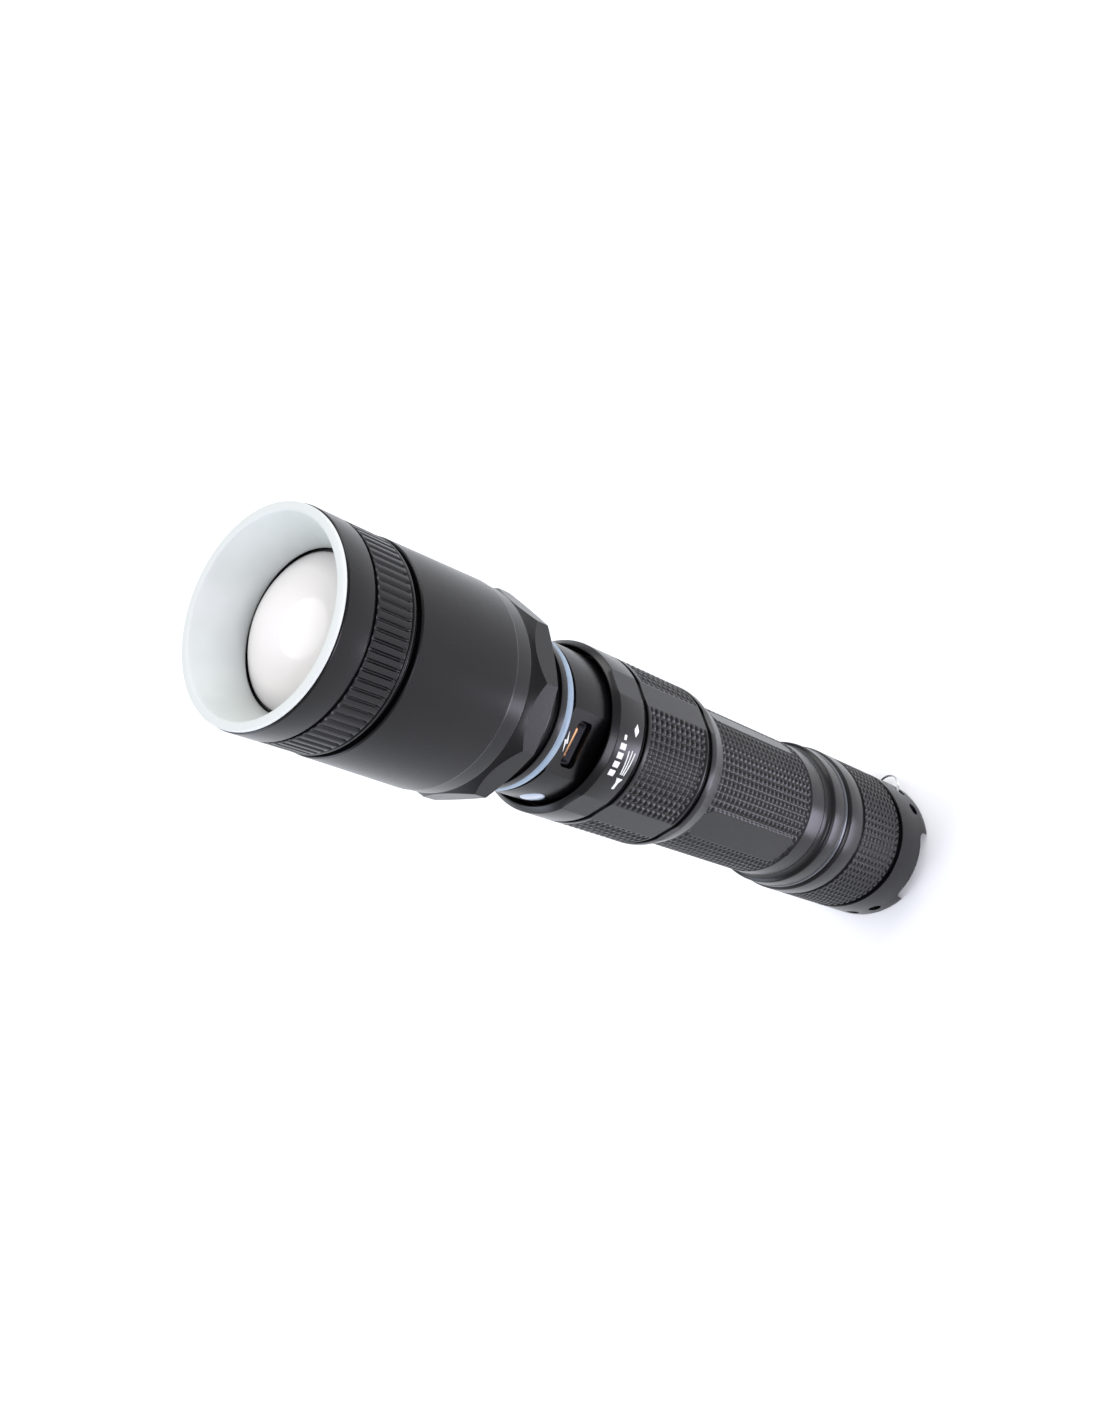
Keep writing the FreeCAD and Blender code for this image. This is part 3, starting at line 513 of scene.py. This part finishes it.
class FlashlightSizes(bpy.types.PropertyGroup):
    """Sizes that a user would change."""
    knurl_pitch: bpy.props.FloatProperty(
        name="Knurl pitch", description="Distance between knurl pads in millimetres", default=1.35, min=0.6,
        max=3.0)
    knurl_depth: bpy.props.FloatProperty(
        name="Knurl depth", description="Depth of the knurl grooves in millimetres", default=0.38, min=0.05,
        max=0.8)
    rib_count: bpy.props.IntProperty(
        name="Ribs", description="Ribs round the focus ring", default=72, min=24, max=144)
    rib_depth: bpy.props.FloatProperty(
        name="Rib depth", description="Depth between two ribs in millimetres", default=0.45, min=0.1, max=0.6)
    edge: bpy.props.FloatProperty(
        name="Edge", description="Size of the eased edges in millimetres", default=0.14, min=0.02, max=0.4)
    floor_size: bpy.props.FloatProperty(
        name="Floor", description="Width of the floor", default=4.0, min=1.0, unit="LENGTH")


def smooth_step(value, low, high):
    """0 below low, 1 above high and an eased rise between."""
    t = np.clip((value - low) / (high - low), 0, 1)
    return t * t * (3 - 2 * t)


# ---------------------------------------------------------------- the pieces

class FLASHLIGHT_OT_focus_ring(bpy.types.Operator):
    """Focus ring with a smooth front band, straight ribs and a rear lip"""
    bl_idname = "flashlight.focus_ring"
    bl_label = "Focus Ring"

    def execute(self, context):
        s = sizes()
        outer, low, high = span("focus_ring")
        seat, bore = span("bezel_cone")[1], 14.9
        band_back, rib_top, rib_low = high - 4.6, high - 5.15, low + 0.62
        profile = rounded([
            (bore, seat), (13.7, seat), (13.7, low + 3.0), (bore, low + 3.0), (bore, low),
            (outer, low), (outer, rib_low - 0.2), (outer - 0.3, rib_low - 0.1),
            (outer - 0.02, rib_low), (outer - 0.02, rib_top - 0.05), (outer - 0.5, rib_top),
            (outer - 0.5, band_back), (outer, band_back), (outer, high - 0.2), (outer - 0.2, high),
            (bore, high)], s.edge)
        profile = finer(profile, rib_low, rib_top, 0.5)

        def ribs(r, z, a):
            wave = smooth_step(pulse(a / (2 * math.pi) * s.rib_count, 0.58), 0, 1)
            inside = smooth_step(z, rib_low, rib_low + 0.35) * (1 - smooth_step(z, rib_top - 0.35, rib_top))
            here = (r > outer - 0.2) * inside
            # the mark lightens the rib tops: wear together with painted light, the grooves between staying
            # darker as painted shade
            return r - s.rib_depth * (1 - wave) * here, z, 0.6 * wave * here

        points, faces, mark = lathe(profile, around(s.rib_count * 10), ribs)
        place_mesh("ribbed_focus_ring", points, faces, "focus_head", ("focus_ring",), "black_anodised",
                   marks=mark)
        return {"FINISHED"}


class FLASHLIGHT_OT_bezel(bpy.types.Operator):
    """White cone between the front rim and the lens"""
    bl_idname = "flashlight.bezel"
    bl_label = "Bezel Cone"

    def execute(self, context):
        outer, low, high = span("bezel_cone")
        profile = rounded([
            (11.7, low), (14.9, low), (14.9, high - 0.7), (outer, high - 0.7), (outer, high),
            (14.18, high), (11.7, low + 0.2)], 0.26, 4)
        points, faces, _ = lathe(profile, around(256))
        place_mesh("white_bezel_cone", points, faces, "focus_head", ("bezel_cone",), "white_bezel")
        return {"FINISHED"}


class FLASHLIGHT_OT_lens(bpy.types.Operator):
    """Plano-convex lens in its carrier"""
    bl_idname = "flashlight.lens"
    bl_label = "Lens"

    def execute(self, context):
        radius, low, high = span("lens")
        ball = 16.2
        edge = high - ball + math.sqrt(ball ** 2 - radius ** 2)
        reach = math.asin(radius / ball)
        t = np.linspace(reach, 0, 40)
        dome = np.stack([ball * np.sin(t), high - ball + ball * np.cos(t)], axis=-1)
        profile = np.concatenate([
            [(0, low), (radius - 0.1, low), (radius, low + 0.1), (radius, edge - 0.02)], dome])
        points, faces, _ = capped(profile, around(160))
        place_mesh("dome_lens", points, faces, "lens_group", ("lens",), "lens_glass")
        outer, low, high = span("lens_carrier")
        profile = rounded([
            (11.0, low), (outer, low), (outer, high), (11.22, high), (11.22, high - 2.0),
            (10.4, high - 2.0), (10.4, high - 2.8), (11.0, high - 2.8)], 0.1)
        points, faces, _ = lathe(profile, around(192))
        place_mesh("lens_carrier_ring", points, faces, "lens_group", ("lens_carrier",), "black_anodised")
        return {"FINISHED"}


class FLASHLIGHT_OT_barrel(bpy.types.Operator):
    """Head barrel with its waist and ten wrench flats"""
    bl_idname = "flashlight.barrel"
    bl_label = "Head Barrel"

    def execute(self, context):
        s = sizes()
        _, low, high = span("head_barrel")
        outer, front = 16.05, 15.75
        profile = rounded([
            (14.0, high), (14.0, 133.0), (12.4, 133.0), (12.4, 125.0), (11.4, 125.0), (11.4, low),
            (12.5, low), (12.6, low + 0.2), (12.6, low + 0.8), (12.3, low + 1.0), (12.35, low + 1.7),
            (13.2, low + 2.5), (16.38, low + 4.0), (16.38, low + 6.2), (14.9, low + 8.8),
            (15.5, low + 9.15), (15.84, low + 9.6), (15.92, low + 12.5), (outer - 0.01, low + 12.65),
            (outer, low + 12.9), (front, high - 4.0), (front - 0.2, high - 3.8), (14.6, high - 3.8),
            (14.6, high - 2.0), (14.3, high - 2.0), (14.3, high - 0.8), (14.6, high - 0.8),
            (14.6, high - 0.4), (14.3, high)], s.edge)
        points, faces, _ = lathe(profile, around(360))
        barrel = place_mesh("head_barrel_shell", points, faces, "torch_body", ("head_barrel",),
                            "black_anodised")
        sides, flat_distance, first_corner = 10, 15.5, 116.0
        corner = flat_distance / math.cos(math.pi / sides)
        ring = np.array([(corner, low + 1.7), (22.0, low + 1.7), (22.0, low + 8.9), (corner, low + 8.9)])
        tool, tool_faces, _ = lathe(ring, around(sides))
        machined(barrel, [(turned_about_z(tool, first_corner), tool_faces)], sharp=14)
        return {"FINISHED"}


class FLASHLIGHT_OT_charge_neck(bpy.types.Operator):
    """Charging neck with a milled flat, the port slot and the seat of the indicator light"""
    bl_idname = "flashlight.charge_neck"
    bl_label = "Charging Neck"

    def execute(self, context):
        _, low, high = span("charge_neck")
        port = sum(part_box("usb_shell")[k][2] for k in (0, 1)) / 2 / MM
        profile = rounded([
            (10.2, low), (12.3, low), (12.3, low + 2.4), (12.1, low + 2.4), (12.1, low + 3.8),
            (12.3, low + 3.8), (12.3, 114.0), (11.9, 114.0), (11.9, 116.3), (12.6, 116.3),
            (12.6, 117.7), (11.9, 117.7), (11.9, 119.3), (11.4, 119.3), (11.4, high), (9.4, high),
            (9.4, 116.5), (10.2, 116.5)], 0.1)
        points, faces, _ = lathe(profile, around(256))
        neck = place_mesh("charge_neck_shell", points, faces, "torch_body", ("charge_neck",),
                          "black_anodised")
        flat, flat_faces = slab(6.5, 6.0, 0, 4.0, 0.05)
        hole, hole_faces = slab(3.8, 1.6, -2.4, 4.0, 0.9)
        seat = np.array([(0, -4.0), (2.02, -4.0), (2.02, 3.0), (0, 3.0)])
        seat_points, seat_faces, _ = capped(seat, around(48))
        light = span("indicator_light")
        machined(neck, [
            (facing(flat, PORT_SIDE, 11.1, 110.0), flat_faces),
            (facing(hole, PORT_SIDE, 11.3, port), hole_faces),
            (facing(seat_points, LIGHT_SIDE, NECK_RADIUS, (light[1] + light[2]) / 2), seat_faces)], sharp=12)
        return {"FINISHED"}


class FLASHLIGHT_OT_port(bpy.types.Operator):
    """Charging socket, its contact tongue and the indicator light"""
    bl_idname = "flashlight.port"
    bl_label = "Charging Port"

    def execute(self, context):
        low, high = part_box("usb_shell")
        level = (low[2] + high[2]) / 2 / MM
        half_x, half_z = (high[0] - low[0]) / 2 / MM, (high[2] - low[2]) / 2 / MM
        deep = (high[1] - low[1]) / MM
        x, y = rounded_rectangle(half_x, half_z, 0.5, 40)
        grow = np.array([0.5, 0.5, -0.15, -0.15])[:, None]
        depth = np.array([-1.6, 0.0, 0.0, -deep + 0.3])[:, None]
        points, faces = stacked(np.stack([x + grow * np.sign(x), y + grow * np.sign(y), depth + 0 * x],
                                         axis=-1))
        # the socket shell takes the darkened steel, painted shade for the inside of the slot
        place_mesh("socket_shell", facing(points, PORT_SIDE, -low[1] / MM, level), faces, "torch_body",
                   ("usb_shell",), "steel", "socket_steel_painted_shade")
        t_low, t_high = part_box("usb_tongue")
        tongue, tongue_faces = slab((t_high[0] - t_low[0]) / 2 / MM, 0.34, -(t_high[1] - t_low[1]) / MM, 0,
                                    0.12)
        place_mesh("socket_tongue", facing(tongue, PORT_SIDE, -t_low[1] / MM, level), tongue_faces,
                   "torch_body", ("usb_tongue",), "gold_contact")
        radius = (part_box("indicator_light")[1][2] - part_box("indicator_light")[0][2]) / 2 / MM
        rise = np.linspace(math.pi / 2, 0, 14)
        dome = np.stack([(radius - 0.05) * np.sin(rise), -0.15 + 0.42 * np.cos(rise)], axis=-1)
        profile = np.concatenate([[(0, -2.0), (radius - 0.05, -2.0)], dome])
        points, faces, _ = capped(profile, around(64))
        light = span("indicator_light")
        place_mesh("indicator_dome", facing(points, LIGHT_SIDE, NECK_RADIUS, (light[1] + light[2]) / 2),
                   faces, "torch_body", ("indicator_light",), "indicator")
        return {"FINISHED"}


class FLASHLIGHT_OT_seals(bpy.types.Operator):
    """Rubber and silicone rings"""
    bl_idname = "flashlight.seals"
    bl_label = "Seals"

    def execute(self, context):
        rings = (("seal_ring", "pale_seal", 11.9, "pale_silicone"),
                 ("tail_seal", "tail_oring", 11.6, "tail_rubber"),
                 ("sleeve_wiper_front", "front_wiper", 12.1, "rubber"),
                 ("sleeve_wiper_rear", "rear_wiper", 12.1, "rubber"),
                 ("focus_seal", "focus_oring", 14.3, "rubber"))
        for node, name, bore, slot in rings:
            outer, low, high = span(node)
            half = (high - low) / 2
            t = np.linspace(-math.pi / 2, math.pi / 2, 17)
            swell = min(half * 0.55, (outer - bore) * 0.6)
            side = np.stack([outer - swell + swell * np.cos(t), (low + high) / 2 + half * np.sin(t)], axis=-1)
            profile = np.concatenate([side, [(bore, high), (bore, low)]])
            points, faces, _ = lathe(profile, around(256))
            place_mesh(name, points, faces, "torch_body", (node,), slot)
        return {"FINISHED"}


class FLASHLIGHT_OT_sleeve(bpy.types.Operator):
    """Sliding sleeve with four knurled panels between narrow flats"""
    bl_idname = "flashlight.sleeve"
    bl_label = "Sliding Sleeve"

    def execute(self, context):
        s = sizes()
        _, low, high = span("port_sleeve")
        outer, bore = SLEEVE_RADIUS, 12.95
        knurl_low, knurl_high = low + 6.5, low + 22.0
        profile = rounded([
            (bore, low), (outer - 1.0, low), (outer, low + 3.5), (outer, low + 4.8),
            (outer - 0.6, low + 4.8), (outer - 0.6, low + 5.9), (outer, low + 5.9),
            (outer, low + 22.9), (outer - 0.6, low + 22.9), (outer - 0.6, low + 24.0),
            (outer, low + 24.0), (outer, high - 1.0), (outer - 0.85, high), (bore + 0.1, high),
            (bore, high - 0.1)], s.edge)
        profile = finer(profile, low + 5.9, low + 22.9, s.knurl_pitch / 8)

        def relief(r, z, a):
            off = (np.degrees(a) - 53.0 + 45.0) % 90.0 - 45.0
            height, here = knurl(r, z, a, knurl_low, knurl_high, outer)
            panel = np.abs(off) > 9.8
            height = np.where(panel, height, 1.0)
            flat = 13.86 / np.cos(np.radians(off))
            cut = np.where(r > bore + 0.5, np.minimum(r, flat), r)
            # the mark lightens the knurl pads: wear together with painted light, the grooves staying darker
            # as painted shade
            return cut - s.knurl_depth * (1 - height), z, np.where(here & panel, height, 0.0)

        points, faces, mark = lathe(profile, around(pads(outer) * 8), relief)
        place_mesh("knurled_sleeve", points, faces, "charge_sleeve", ("port_sleeve",), "black_anodised",
                   marks=mark)
        return {"FINISHED"}


class FLASHLIGHT_OT_tube(bpy.types.Operator):
    """Knurled battery tube with four pill-shaped grip flats"""
    bl_idname = "flashlight.tube"
    bl_label = "Battery Tube"

    def execute(self, context):
        s = sizes()
        _, low, high = span("battery_tube")
        outer, bore = 12.65, 9.7
        knurl_low, knurl_high = 44.6, 74.3
        profile = rounded([
            (bore, low), (11.6, low), (11.6, 33.9), (13.6, 33.9), (13.6, 37.3), (13.45, 37.6),
            (12.95, 37.9), (12.62, 38.5), (12.5, 39.2), (12.52, 39.6), (outer, 39.8), (outer, 43.6),
            (outer, 75.4), (outer, 86.0), (12.1, 86.0), (12.1, 87.4), (outer, 87.4), (outer, high),
            (bore, high)], s.edge)
        profile = finer(profile, 43.6, 75.4, s.knurl_pitch / 6)

        def relief(r, z, a):
            height, here = knurl(r, z, a, knurl_low, knurl_high, outer)
            beyond = np.clip(np.abs(z - 59.4) - 11.8, 0, None)
            ring, smooth = r - s.knurl_depth * (1 - height), np.zeros_like(r, dtype=bool)
            for centre, reach, distance in ((-113.0, 3.2, 12.25), (-15.0, 1.6, 12.5)):
                off = (np.degrees(a) - centre + 90.0) % 180.0 - 90.0
                across = distance * np.tan(np.radians(np.clip(off, -80.0, 80.0)))
                pill = (np.hypot(across, beyond) < reach) & (np.abs(r - outer) < 0.05)
                ring = np.where(pill, distance / np.cos(np.radians(np.clip(off, -80.0, 80.0))), ring)
                smooth |= pill
            # the mark lightens the knurl pads: wear together with painted light, the grooves and pill flats
            # staying darker as painted shade
            return ring, z, np.where(here & ~smooth, height, 0.0)

        # seven columns to a pad, not eight as on the shorter pieces, since this one is long
        points, faces, mark = lathe(profile, around(pads(outer) * 7), relief)
        place_mesh("knurled_tube", points, faces, "torch_body", ("battery_tube",), "black_anodised",
                   marks=mark)
        return {"FINISHED"}


class FLASHLIGHT_OT_tail_cap(bpy.types.Operator):
    """Tail cap: a knurled grip above three standing teeth with paired cord holes"""
    bl_idname = "flashlight.tail_cap"
    bl_label = "Tail Cap"

    def execute(self, context):
        s = sizes()
        high = span("tail_cap")[2]
        outer, split = SLEEVE_RADIUS, 11.1
        knurl_low, knurl_high = 12.6, 26.6
        profile = rounded([
            (11.0, split), (13.2, split), (13.2, 12.55), (outer, 12.6), (outer, 26.6), (13.7, 26.65),
            (13.7, 27.7), (outer, 27.7), (outer, high - 0.6), (outer - 0.45, high), (12.05, high),
            (12.05, 13.0), (11.0, 13.0)], s.edge)
        profile = finer(profile, 12.5, 26.7, s.knurl_pitch / 8)

        def relief(r, z, a):
            height, here = knurl(r, z, a, knurl_low, knurl_high, outer)
            # the mark lightens the knurl pads: wear together with painted light, the grooves staying darker
            # as painted shade
            return r - s.knurl_depth * (1 - height), z, np.where(here, height, 0.0)

        points, faces, mark = lathe(profile, around(pads(outer) * 8), relief)
        place_mesh("knurled_tail_grip", points, faces, "tail_unit", ("tail_cap",), "black_anodised",
                   marks=mark)
        ring = rounded([
            (12.0, 5.0), (12.0, 2.0), (12.0, 0.5), (12.45, 0.0), (13.75, 0.0), (outer, 0.3),
            (outer, 2.0), (outer, 5.0), (outer, split - 0.05), (13.4, split), (11.0, split),
            (11.0, 6.6), (7.0, 6.6), (7.0, 5.0)], 0.12)
        points, faces, _ = lathe(ring, around(360))
        teeth = place_mesh("tail_teeth", points, faces, "tail_unit", ("tail_cap",), "black_anodised")
        t = np.linspace(0, math.pi / 2, 9)
        right = np.stack([5.4 + 1.5 * np.cos(t), 1.8 + 1.5 * np.sin(t)], axis=-1)
        outline = np.concatenate([[(-6.9, -2.0), (6.9, -2.0)], right, right[::-1] * [-1, 1]])
        notch, notch_faces = stacked(np.stack([
            np.column_stack([outline, np.full(len(outline), depth)]) for depth in (-7.0, 6.0)]))
        hole = 1.25
        drill, drill_faces, _ = capped(np.array([(0, -5.0), (hole, -5.0), (hole, 3.0), (0, 3.0)]), around(40))
        cutters = []
        for turn in (-84.0, 36.0, 156.0):
            cutters.append((facing(notch, turn, 14.0, 0.0), notch_faces))
            for shift in (-2.48, 2.48):
                cutters.append((facing(drill + [shift, 0, 0], turn + 180.0, 14.0, 3.5), drill_faces))
        machined(teeth, cutters)
        return {"FINISHED"}


class FLASHLIGHT_OT_button(bpy.types.Operator):
    """Rubber tail button with raised rings near its crown"""
    bl_idname = "flashlight.button"
    bl_label = "Tail Button"

    def execute(self, context):
        radius, low, high = span("button_boot")
        t = np.linspace(0, math.pi / 2, 24)
        dome = np.stack([radius * np.sin(t) ** 0.9, low + 3.0 - 3.0 * np.cos(t) ** 0.8], axis=-1)
        profile = np.concatenate([dome, [(radius, high), (0, high)]])

        def raised(r, z, _):
            """Rings a set step apart near the crown, each standing out by a set height."""
            step, height = 1.5, 0.07
            crown = (r < 5.0) & (z < low + 2.5)
            return r, z - height * (np.cos(r * 2 * math.pi / step) > 0.2) * crown, 0 * r

        points, faces, _ = capped(profile, around(96), raised)
        place_mesh("button_dome", points, faces, "tail_button", ("button_boot",), "rubber")
        return {"FINISHED"}


def stroke(path, width, place):
    """Points and faces of a printed stroke: a path of (round, up, width share) carried as a thin flat bar.

    Each section is the path's point plus and minus half the width along its left normal, at two depths.
    """
    path = np.asarray(path, dtype=float)
    steps = np.concatenate([[0], np.cumsum(np.hypot(*np.diff(path[:, :2], axis=0).T))])
    s = np.linspace(0, steps[-1], max(3, int(steps[-1] / 0.25)))
    line = np.column_stack([np.interp(s, steps, path[:, k]) for k in range(3)])
    ahead = np.gradient(line[:, :2], axis=0)
    ahead /= np.linalg.norm(ahead, axis=1)[:, None]
    left = np.column_stack([-ahead[:, 1], ahead[:, 0]]) * (line[:, 2] * width / 2)[:, None]
    flat = np.stack([line[:, :2] - left, line[:, :2] + left, line[:, :2] + left, line[:, :2] - left], axis=1)
    depth = np.broadcast_to(np.array([0.0, 0.0, 1.0, 1.0])[None, :, None], (len(s), 4, 1))
    points, faces = stacked(np.concatenate([flat, depth], axis=2))
    return place(points), [face[::-1] for face in faces]


def wrapped(centre, radius, level):
    """Carries points (round, up, depth) onto a cylinder: the angle is the distance round over the radius."""
    def place(p):
        a = math.radians(centre) + p[:, 0] / radius
        r = radius + np.where(p[:, 2] > 0.5, 0.02, -0.06)
        return np.column_stack([r * np.cos(a), r * np.sin(a), level + p[:, 1]])
    return place


def on_flat(centre, distance, level):
    """Carries points (round, up, depth) onto a milled flat."""
    return lambda p: facing(np.column_stack([p[:, 0], p[:, 1], np.where(p[:, 2] > 0.5, 0.02, -0.06)]),
                            centre, distance, level)


class FLASHLIGHT_OT_marks(bpy.types.Operator):
    """Generic printed signs: a bolt by the port, and a charge gauge, a beam and a diamond on the collar"""
    bl_idname = "flashlight.marks"
    bl_label = "Printed Signs"

    def execute(self, context):
        bolt = [([(-1.6, -0.28, 0.1), (0.3, 0.26, 1.0)], 0.5), ([(1.6, 0.28, 0.1), (-0.3, -0.26, 1.0)], 0.5)]
        gauge = [([(x, -0.7, 1), (x, 0.7, 1)], 1.0) for x in (-3.0, -1.55, -0.1, 1.35)]
        gauge += [([(2.4, 0, 1), (3.2, 0, 1)], 0.6)]
        beam = [([(-3.4, 0, 0.4), (-2.2, 0, 0.4), (-1.4, 0, 1.0)], 1.5), ([(-0.8, 0, 1), (3.3, 0, 1)], 0.24),
                ([(-0.8, 0.42, 1), (3.1, 0.78, 1)], 0.24), ([(-0.8, -0.42, 1), (3.1, -0.78, 1)], 0.24)]
        diamond = [([(-1.0, 0, 0.06), (0, 0, 1), (1.0, 0, 0.06)], 1.25)]
        signs = (("bolt_sign", bolt, on_flat(PORT_SIDE, 11.1, 112.5), "torch_body"),
                 ("gauge_sign", gauge, wrapped(-84.6, SLEEVE_RADIUS, 103.2), "charge_sleeve"),
                 ("beam_sign", beam, wrapped(-93.0, SLEEVE_RADIUS, 100.7), "charge_sleeve"),
                 ("diamond_sign", diamond, wrapped(-66.7, SLEEVE_RADIUS, 100.8), "charge_sleeve"))
        for name, strokes, place, body in signs:
            points, faces, base = [], [], 0
            for path, width in strokes:
                more, more_faces = stroke(path, width, place)
                points.append(more)
                faces += [[base + k for k in face] for face in more_faces]
                base += len(more)
            place_mesh(name, np.concatenate(points), faces, body, (), "white_bezel", "print")
        return {"FINISHED"}


class FLASHLIGHT_OT_cord_ring(bpy.types.Operator):
    """Split ring of sprung steel wire, two turns side by side"""
    bl_idname = "flashlight.cord_ring"
    bl_label = "Cord Ring"

    def execute(self, context):
        joints = frame["record"]["behaviour"]["joints"]
        swing = next(joint for joint in joints if joint["name"] == "ring_swing")
        centre = np.array(swing["pos_m"]) / MM
        along = np.array(swing["axis"])
        out = np.array([centre[0], centre[1], 0.0]) / np.hypot(centre[0], centre[1])
        out -= along * (out @ along)
        out /= np.linalg.norm(out)
        t = np.linspace(0, 4 * math.pi, 129)
        wire, reach = 0.15, 3.13
        rise = wire * np.tanh((t - 2 * math.pi) * 2.2)
        path = (centre + reach * np.cos(t)[:, None] * along + reach * np.sin(t)[:, None] * out
                + rise[:, None] * np.cross(along, out))
        points, faces = pipe(path, wire, 14)
        place_mesh("split_ring", points, faces, "key_ring", ("cord_ring",), "steel")
        return {"FINISHED"}


class FLASHLIGHT_OT_inner_parts(bpy.types.Operator):
    """Finishes for the pieces inside, which keep their own shape"""
    bl_idname = "flashlight.inner_parts"
    bl_label = "Inner Parts"

    def execute(self, context):
        slots = {entry["node"]: entry["material_slot"] for entry in frame["record"]["subparts"]}
        for name, piece in frame["nodes"].items():
            piece.data.materials.clear()
            piece.data.materials.append(finish(slots[name]))
        return {"FINISHED"}


def aimed(name, data, place, side, lift, back):
    """Links a lamp or camera at a place, given the directions of its own x, y and z."""
    thing = bpy.data.objects.new(name, data)
    bpy.context.scene.collection.objects.link(thing)
    turn = Matrix(np.column_stack([side, lift, back]).tolist()).to_4x4()
    thing.matrix_world = Matrix.Translation(place) @ turn
    return thing


class FLASHLIGHT_OT_stage(bpy.types.Operator):
    """Pale floor, soft studio light and the camera"""
    bl_idname = "flashlight.stage"
    bl_label = "Stage"

    def execute(self, context):
        half = sizes().floor_size / 2 / MM
        flat = [(-half, -half, -0.02), (half, -half, -0.02), (half, half, -0.02), (-half, half, -0.02)]
        paper, tree = blank("pale_seamless_paper")
        tone = ramp(tree, grain(tree, 60.0).outputs["Fac"], 0.3, 0.7, linear("#F4F4F4"), linear("#F1F1F2"))
        finish_with(tree, add(tree, "ShaderNodeBsdfPrincipled", inputs={
            "Base Color": tone.outputs["Result"], "Roughness": 0.9, "Specular IOR Level": 0.1}))
        floor = place_mesh("floor", flat, [[0, 1, 2, 3]])
        floor.data.materials.append(paper)
        world = bpy.data.worlds.new("studio")
        world.use_nodes = True
        world.node_tree.nodes["Background"].inputs["Color"].default_value = linear("#EEF1F5")
        world.node_tree.nodes["Background"].inputs["Strength"].default_value = 0.72
        context.scene.world = world
        for name, place, aim, own_x, size, power, tint in LAMPS:
            data = bpy.data.lights.new(name, "AREA" if size else "SUN")
            if size:
                data.shape = "RECTANGLE"
                data.size, data.size_y = size
            else:
                data.angle = math.radians(50)
            data.energy = power
            data.color = linear(tint)[:3]
            back = np.array(place) - np.array(aim)
            back /= np.linalg.norm(back)
            side = np.cross([0, 0, 1.0], back) if own_x is None else np.array(own_x)
            side /= np.linalg.norm(side)
            aimed(name, data, place, side, np.cross(back, side), back).visible_camera = False
        eye = bpy.data.cameras.new("camera")
        eye.lens = 39.24
        eye.sensor_width = 36.0
        eye.clip_start = 0.01
        eye.clip_end = 20.0
        right = np.array([0.43375, -0.65151, -0.62240])
        up = np.array([0.89864, 0.36308, 0.24619])
        back = np.cross(right, up)
        context.scene.camera = aimed("camera", eye, (0.0181, -0.1611, 0.2860), right, up, back)
        context.scene.view_settings.view_transform = "Standard"
        return {"FINISHED"}


class FLASHLIGHT_PT_panel(bpy.types.Panel):
    """The pieces of the flashlight"""
    bl_idname = "FLASHLIGHT_PT_panel"
    bl_label = "Flashlight"
    bl_space_type = "VIEW_3D"
    bl_region_type = "UI"
    bl_category = "Flashlight"

    def draw(self, context):
        for group in (sizes(), context.scene.flashlight_colours):
            for name in group.bl_rna.properties.keys():
                if name not in ("rna_type", "name"):
                    self.layout.prop(group, name)
        for operator in PIECES:
            self.layout.operator(operator.bl_idname)


PIECES = (
    FLASHLIGHT_OT_inner_parts, FLASHLIGHT_OT_focus_ring, FLASHLIGHT_OT_bezel, FLASHLIGHT_OT_lens,
    FLASHLIGHT_OT_barrel, FLASHLIGHT_OT_charge_neck, FLASHLIGHT_OT_port, FLASHLIGHT_OT_seals,
    FLASHLIGHT_OT_sleeve, FLASHLIGHT_OT_tube, FLASHLIGHT_OT_tail_cap, FLASHLIGHT_OT_button,
    FLASHLIGHT_OT_marks, FLASHLIGHT_OT_cord_ring, FLASHLIGHT_OT_stage)


def register():
    """Adds the classes and the two groups of properties."""
    for item in (FlashlightSizes, FlashlightColours, *PIECES, FLASHLIGHT_PT_panel):
        bpy.utils.register_class(item)
    bpy.types.Scene.flashlight = bpy.props.PointerProperty(type=FlashlightSizes)
    bpy.types.Scene.flashlight_colours = bpy.props.PointerProperty(type=FlashlightColours)


def unregister():
    """Takes them away again."""
    del bpy.types.Scene.flashlight_colours
    del bpy.types.Scene.flashlight
    for item in (FLASHLIGHT_PT_panel, *reversed(PIECES), FlashlightColours, FlashlightSizes):
        bpy.utils.unregister_class(item)


def main():
    register()
    for operator in PIECES:
        group, name = operator.bl_idname.split(".")
        getattr(getattr(bpy.ops, group), name)()


if __name__ == "__main__":
    main()
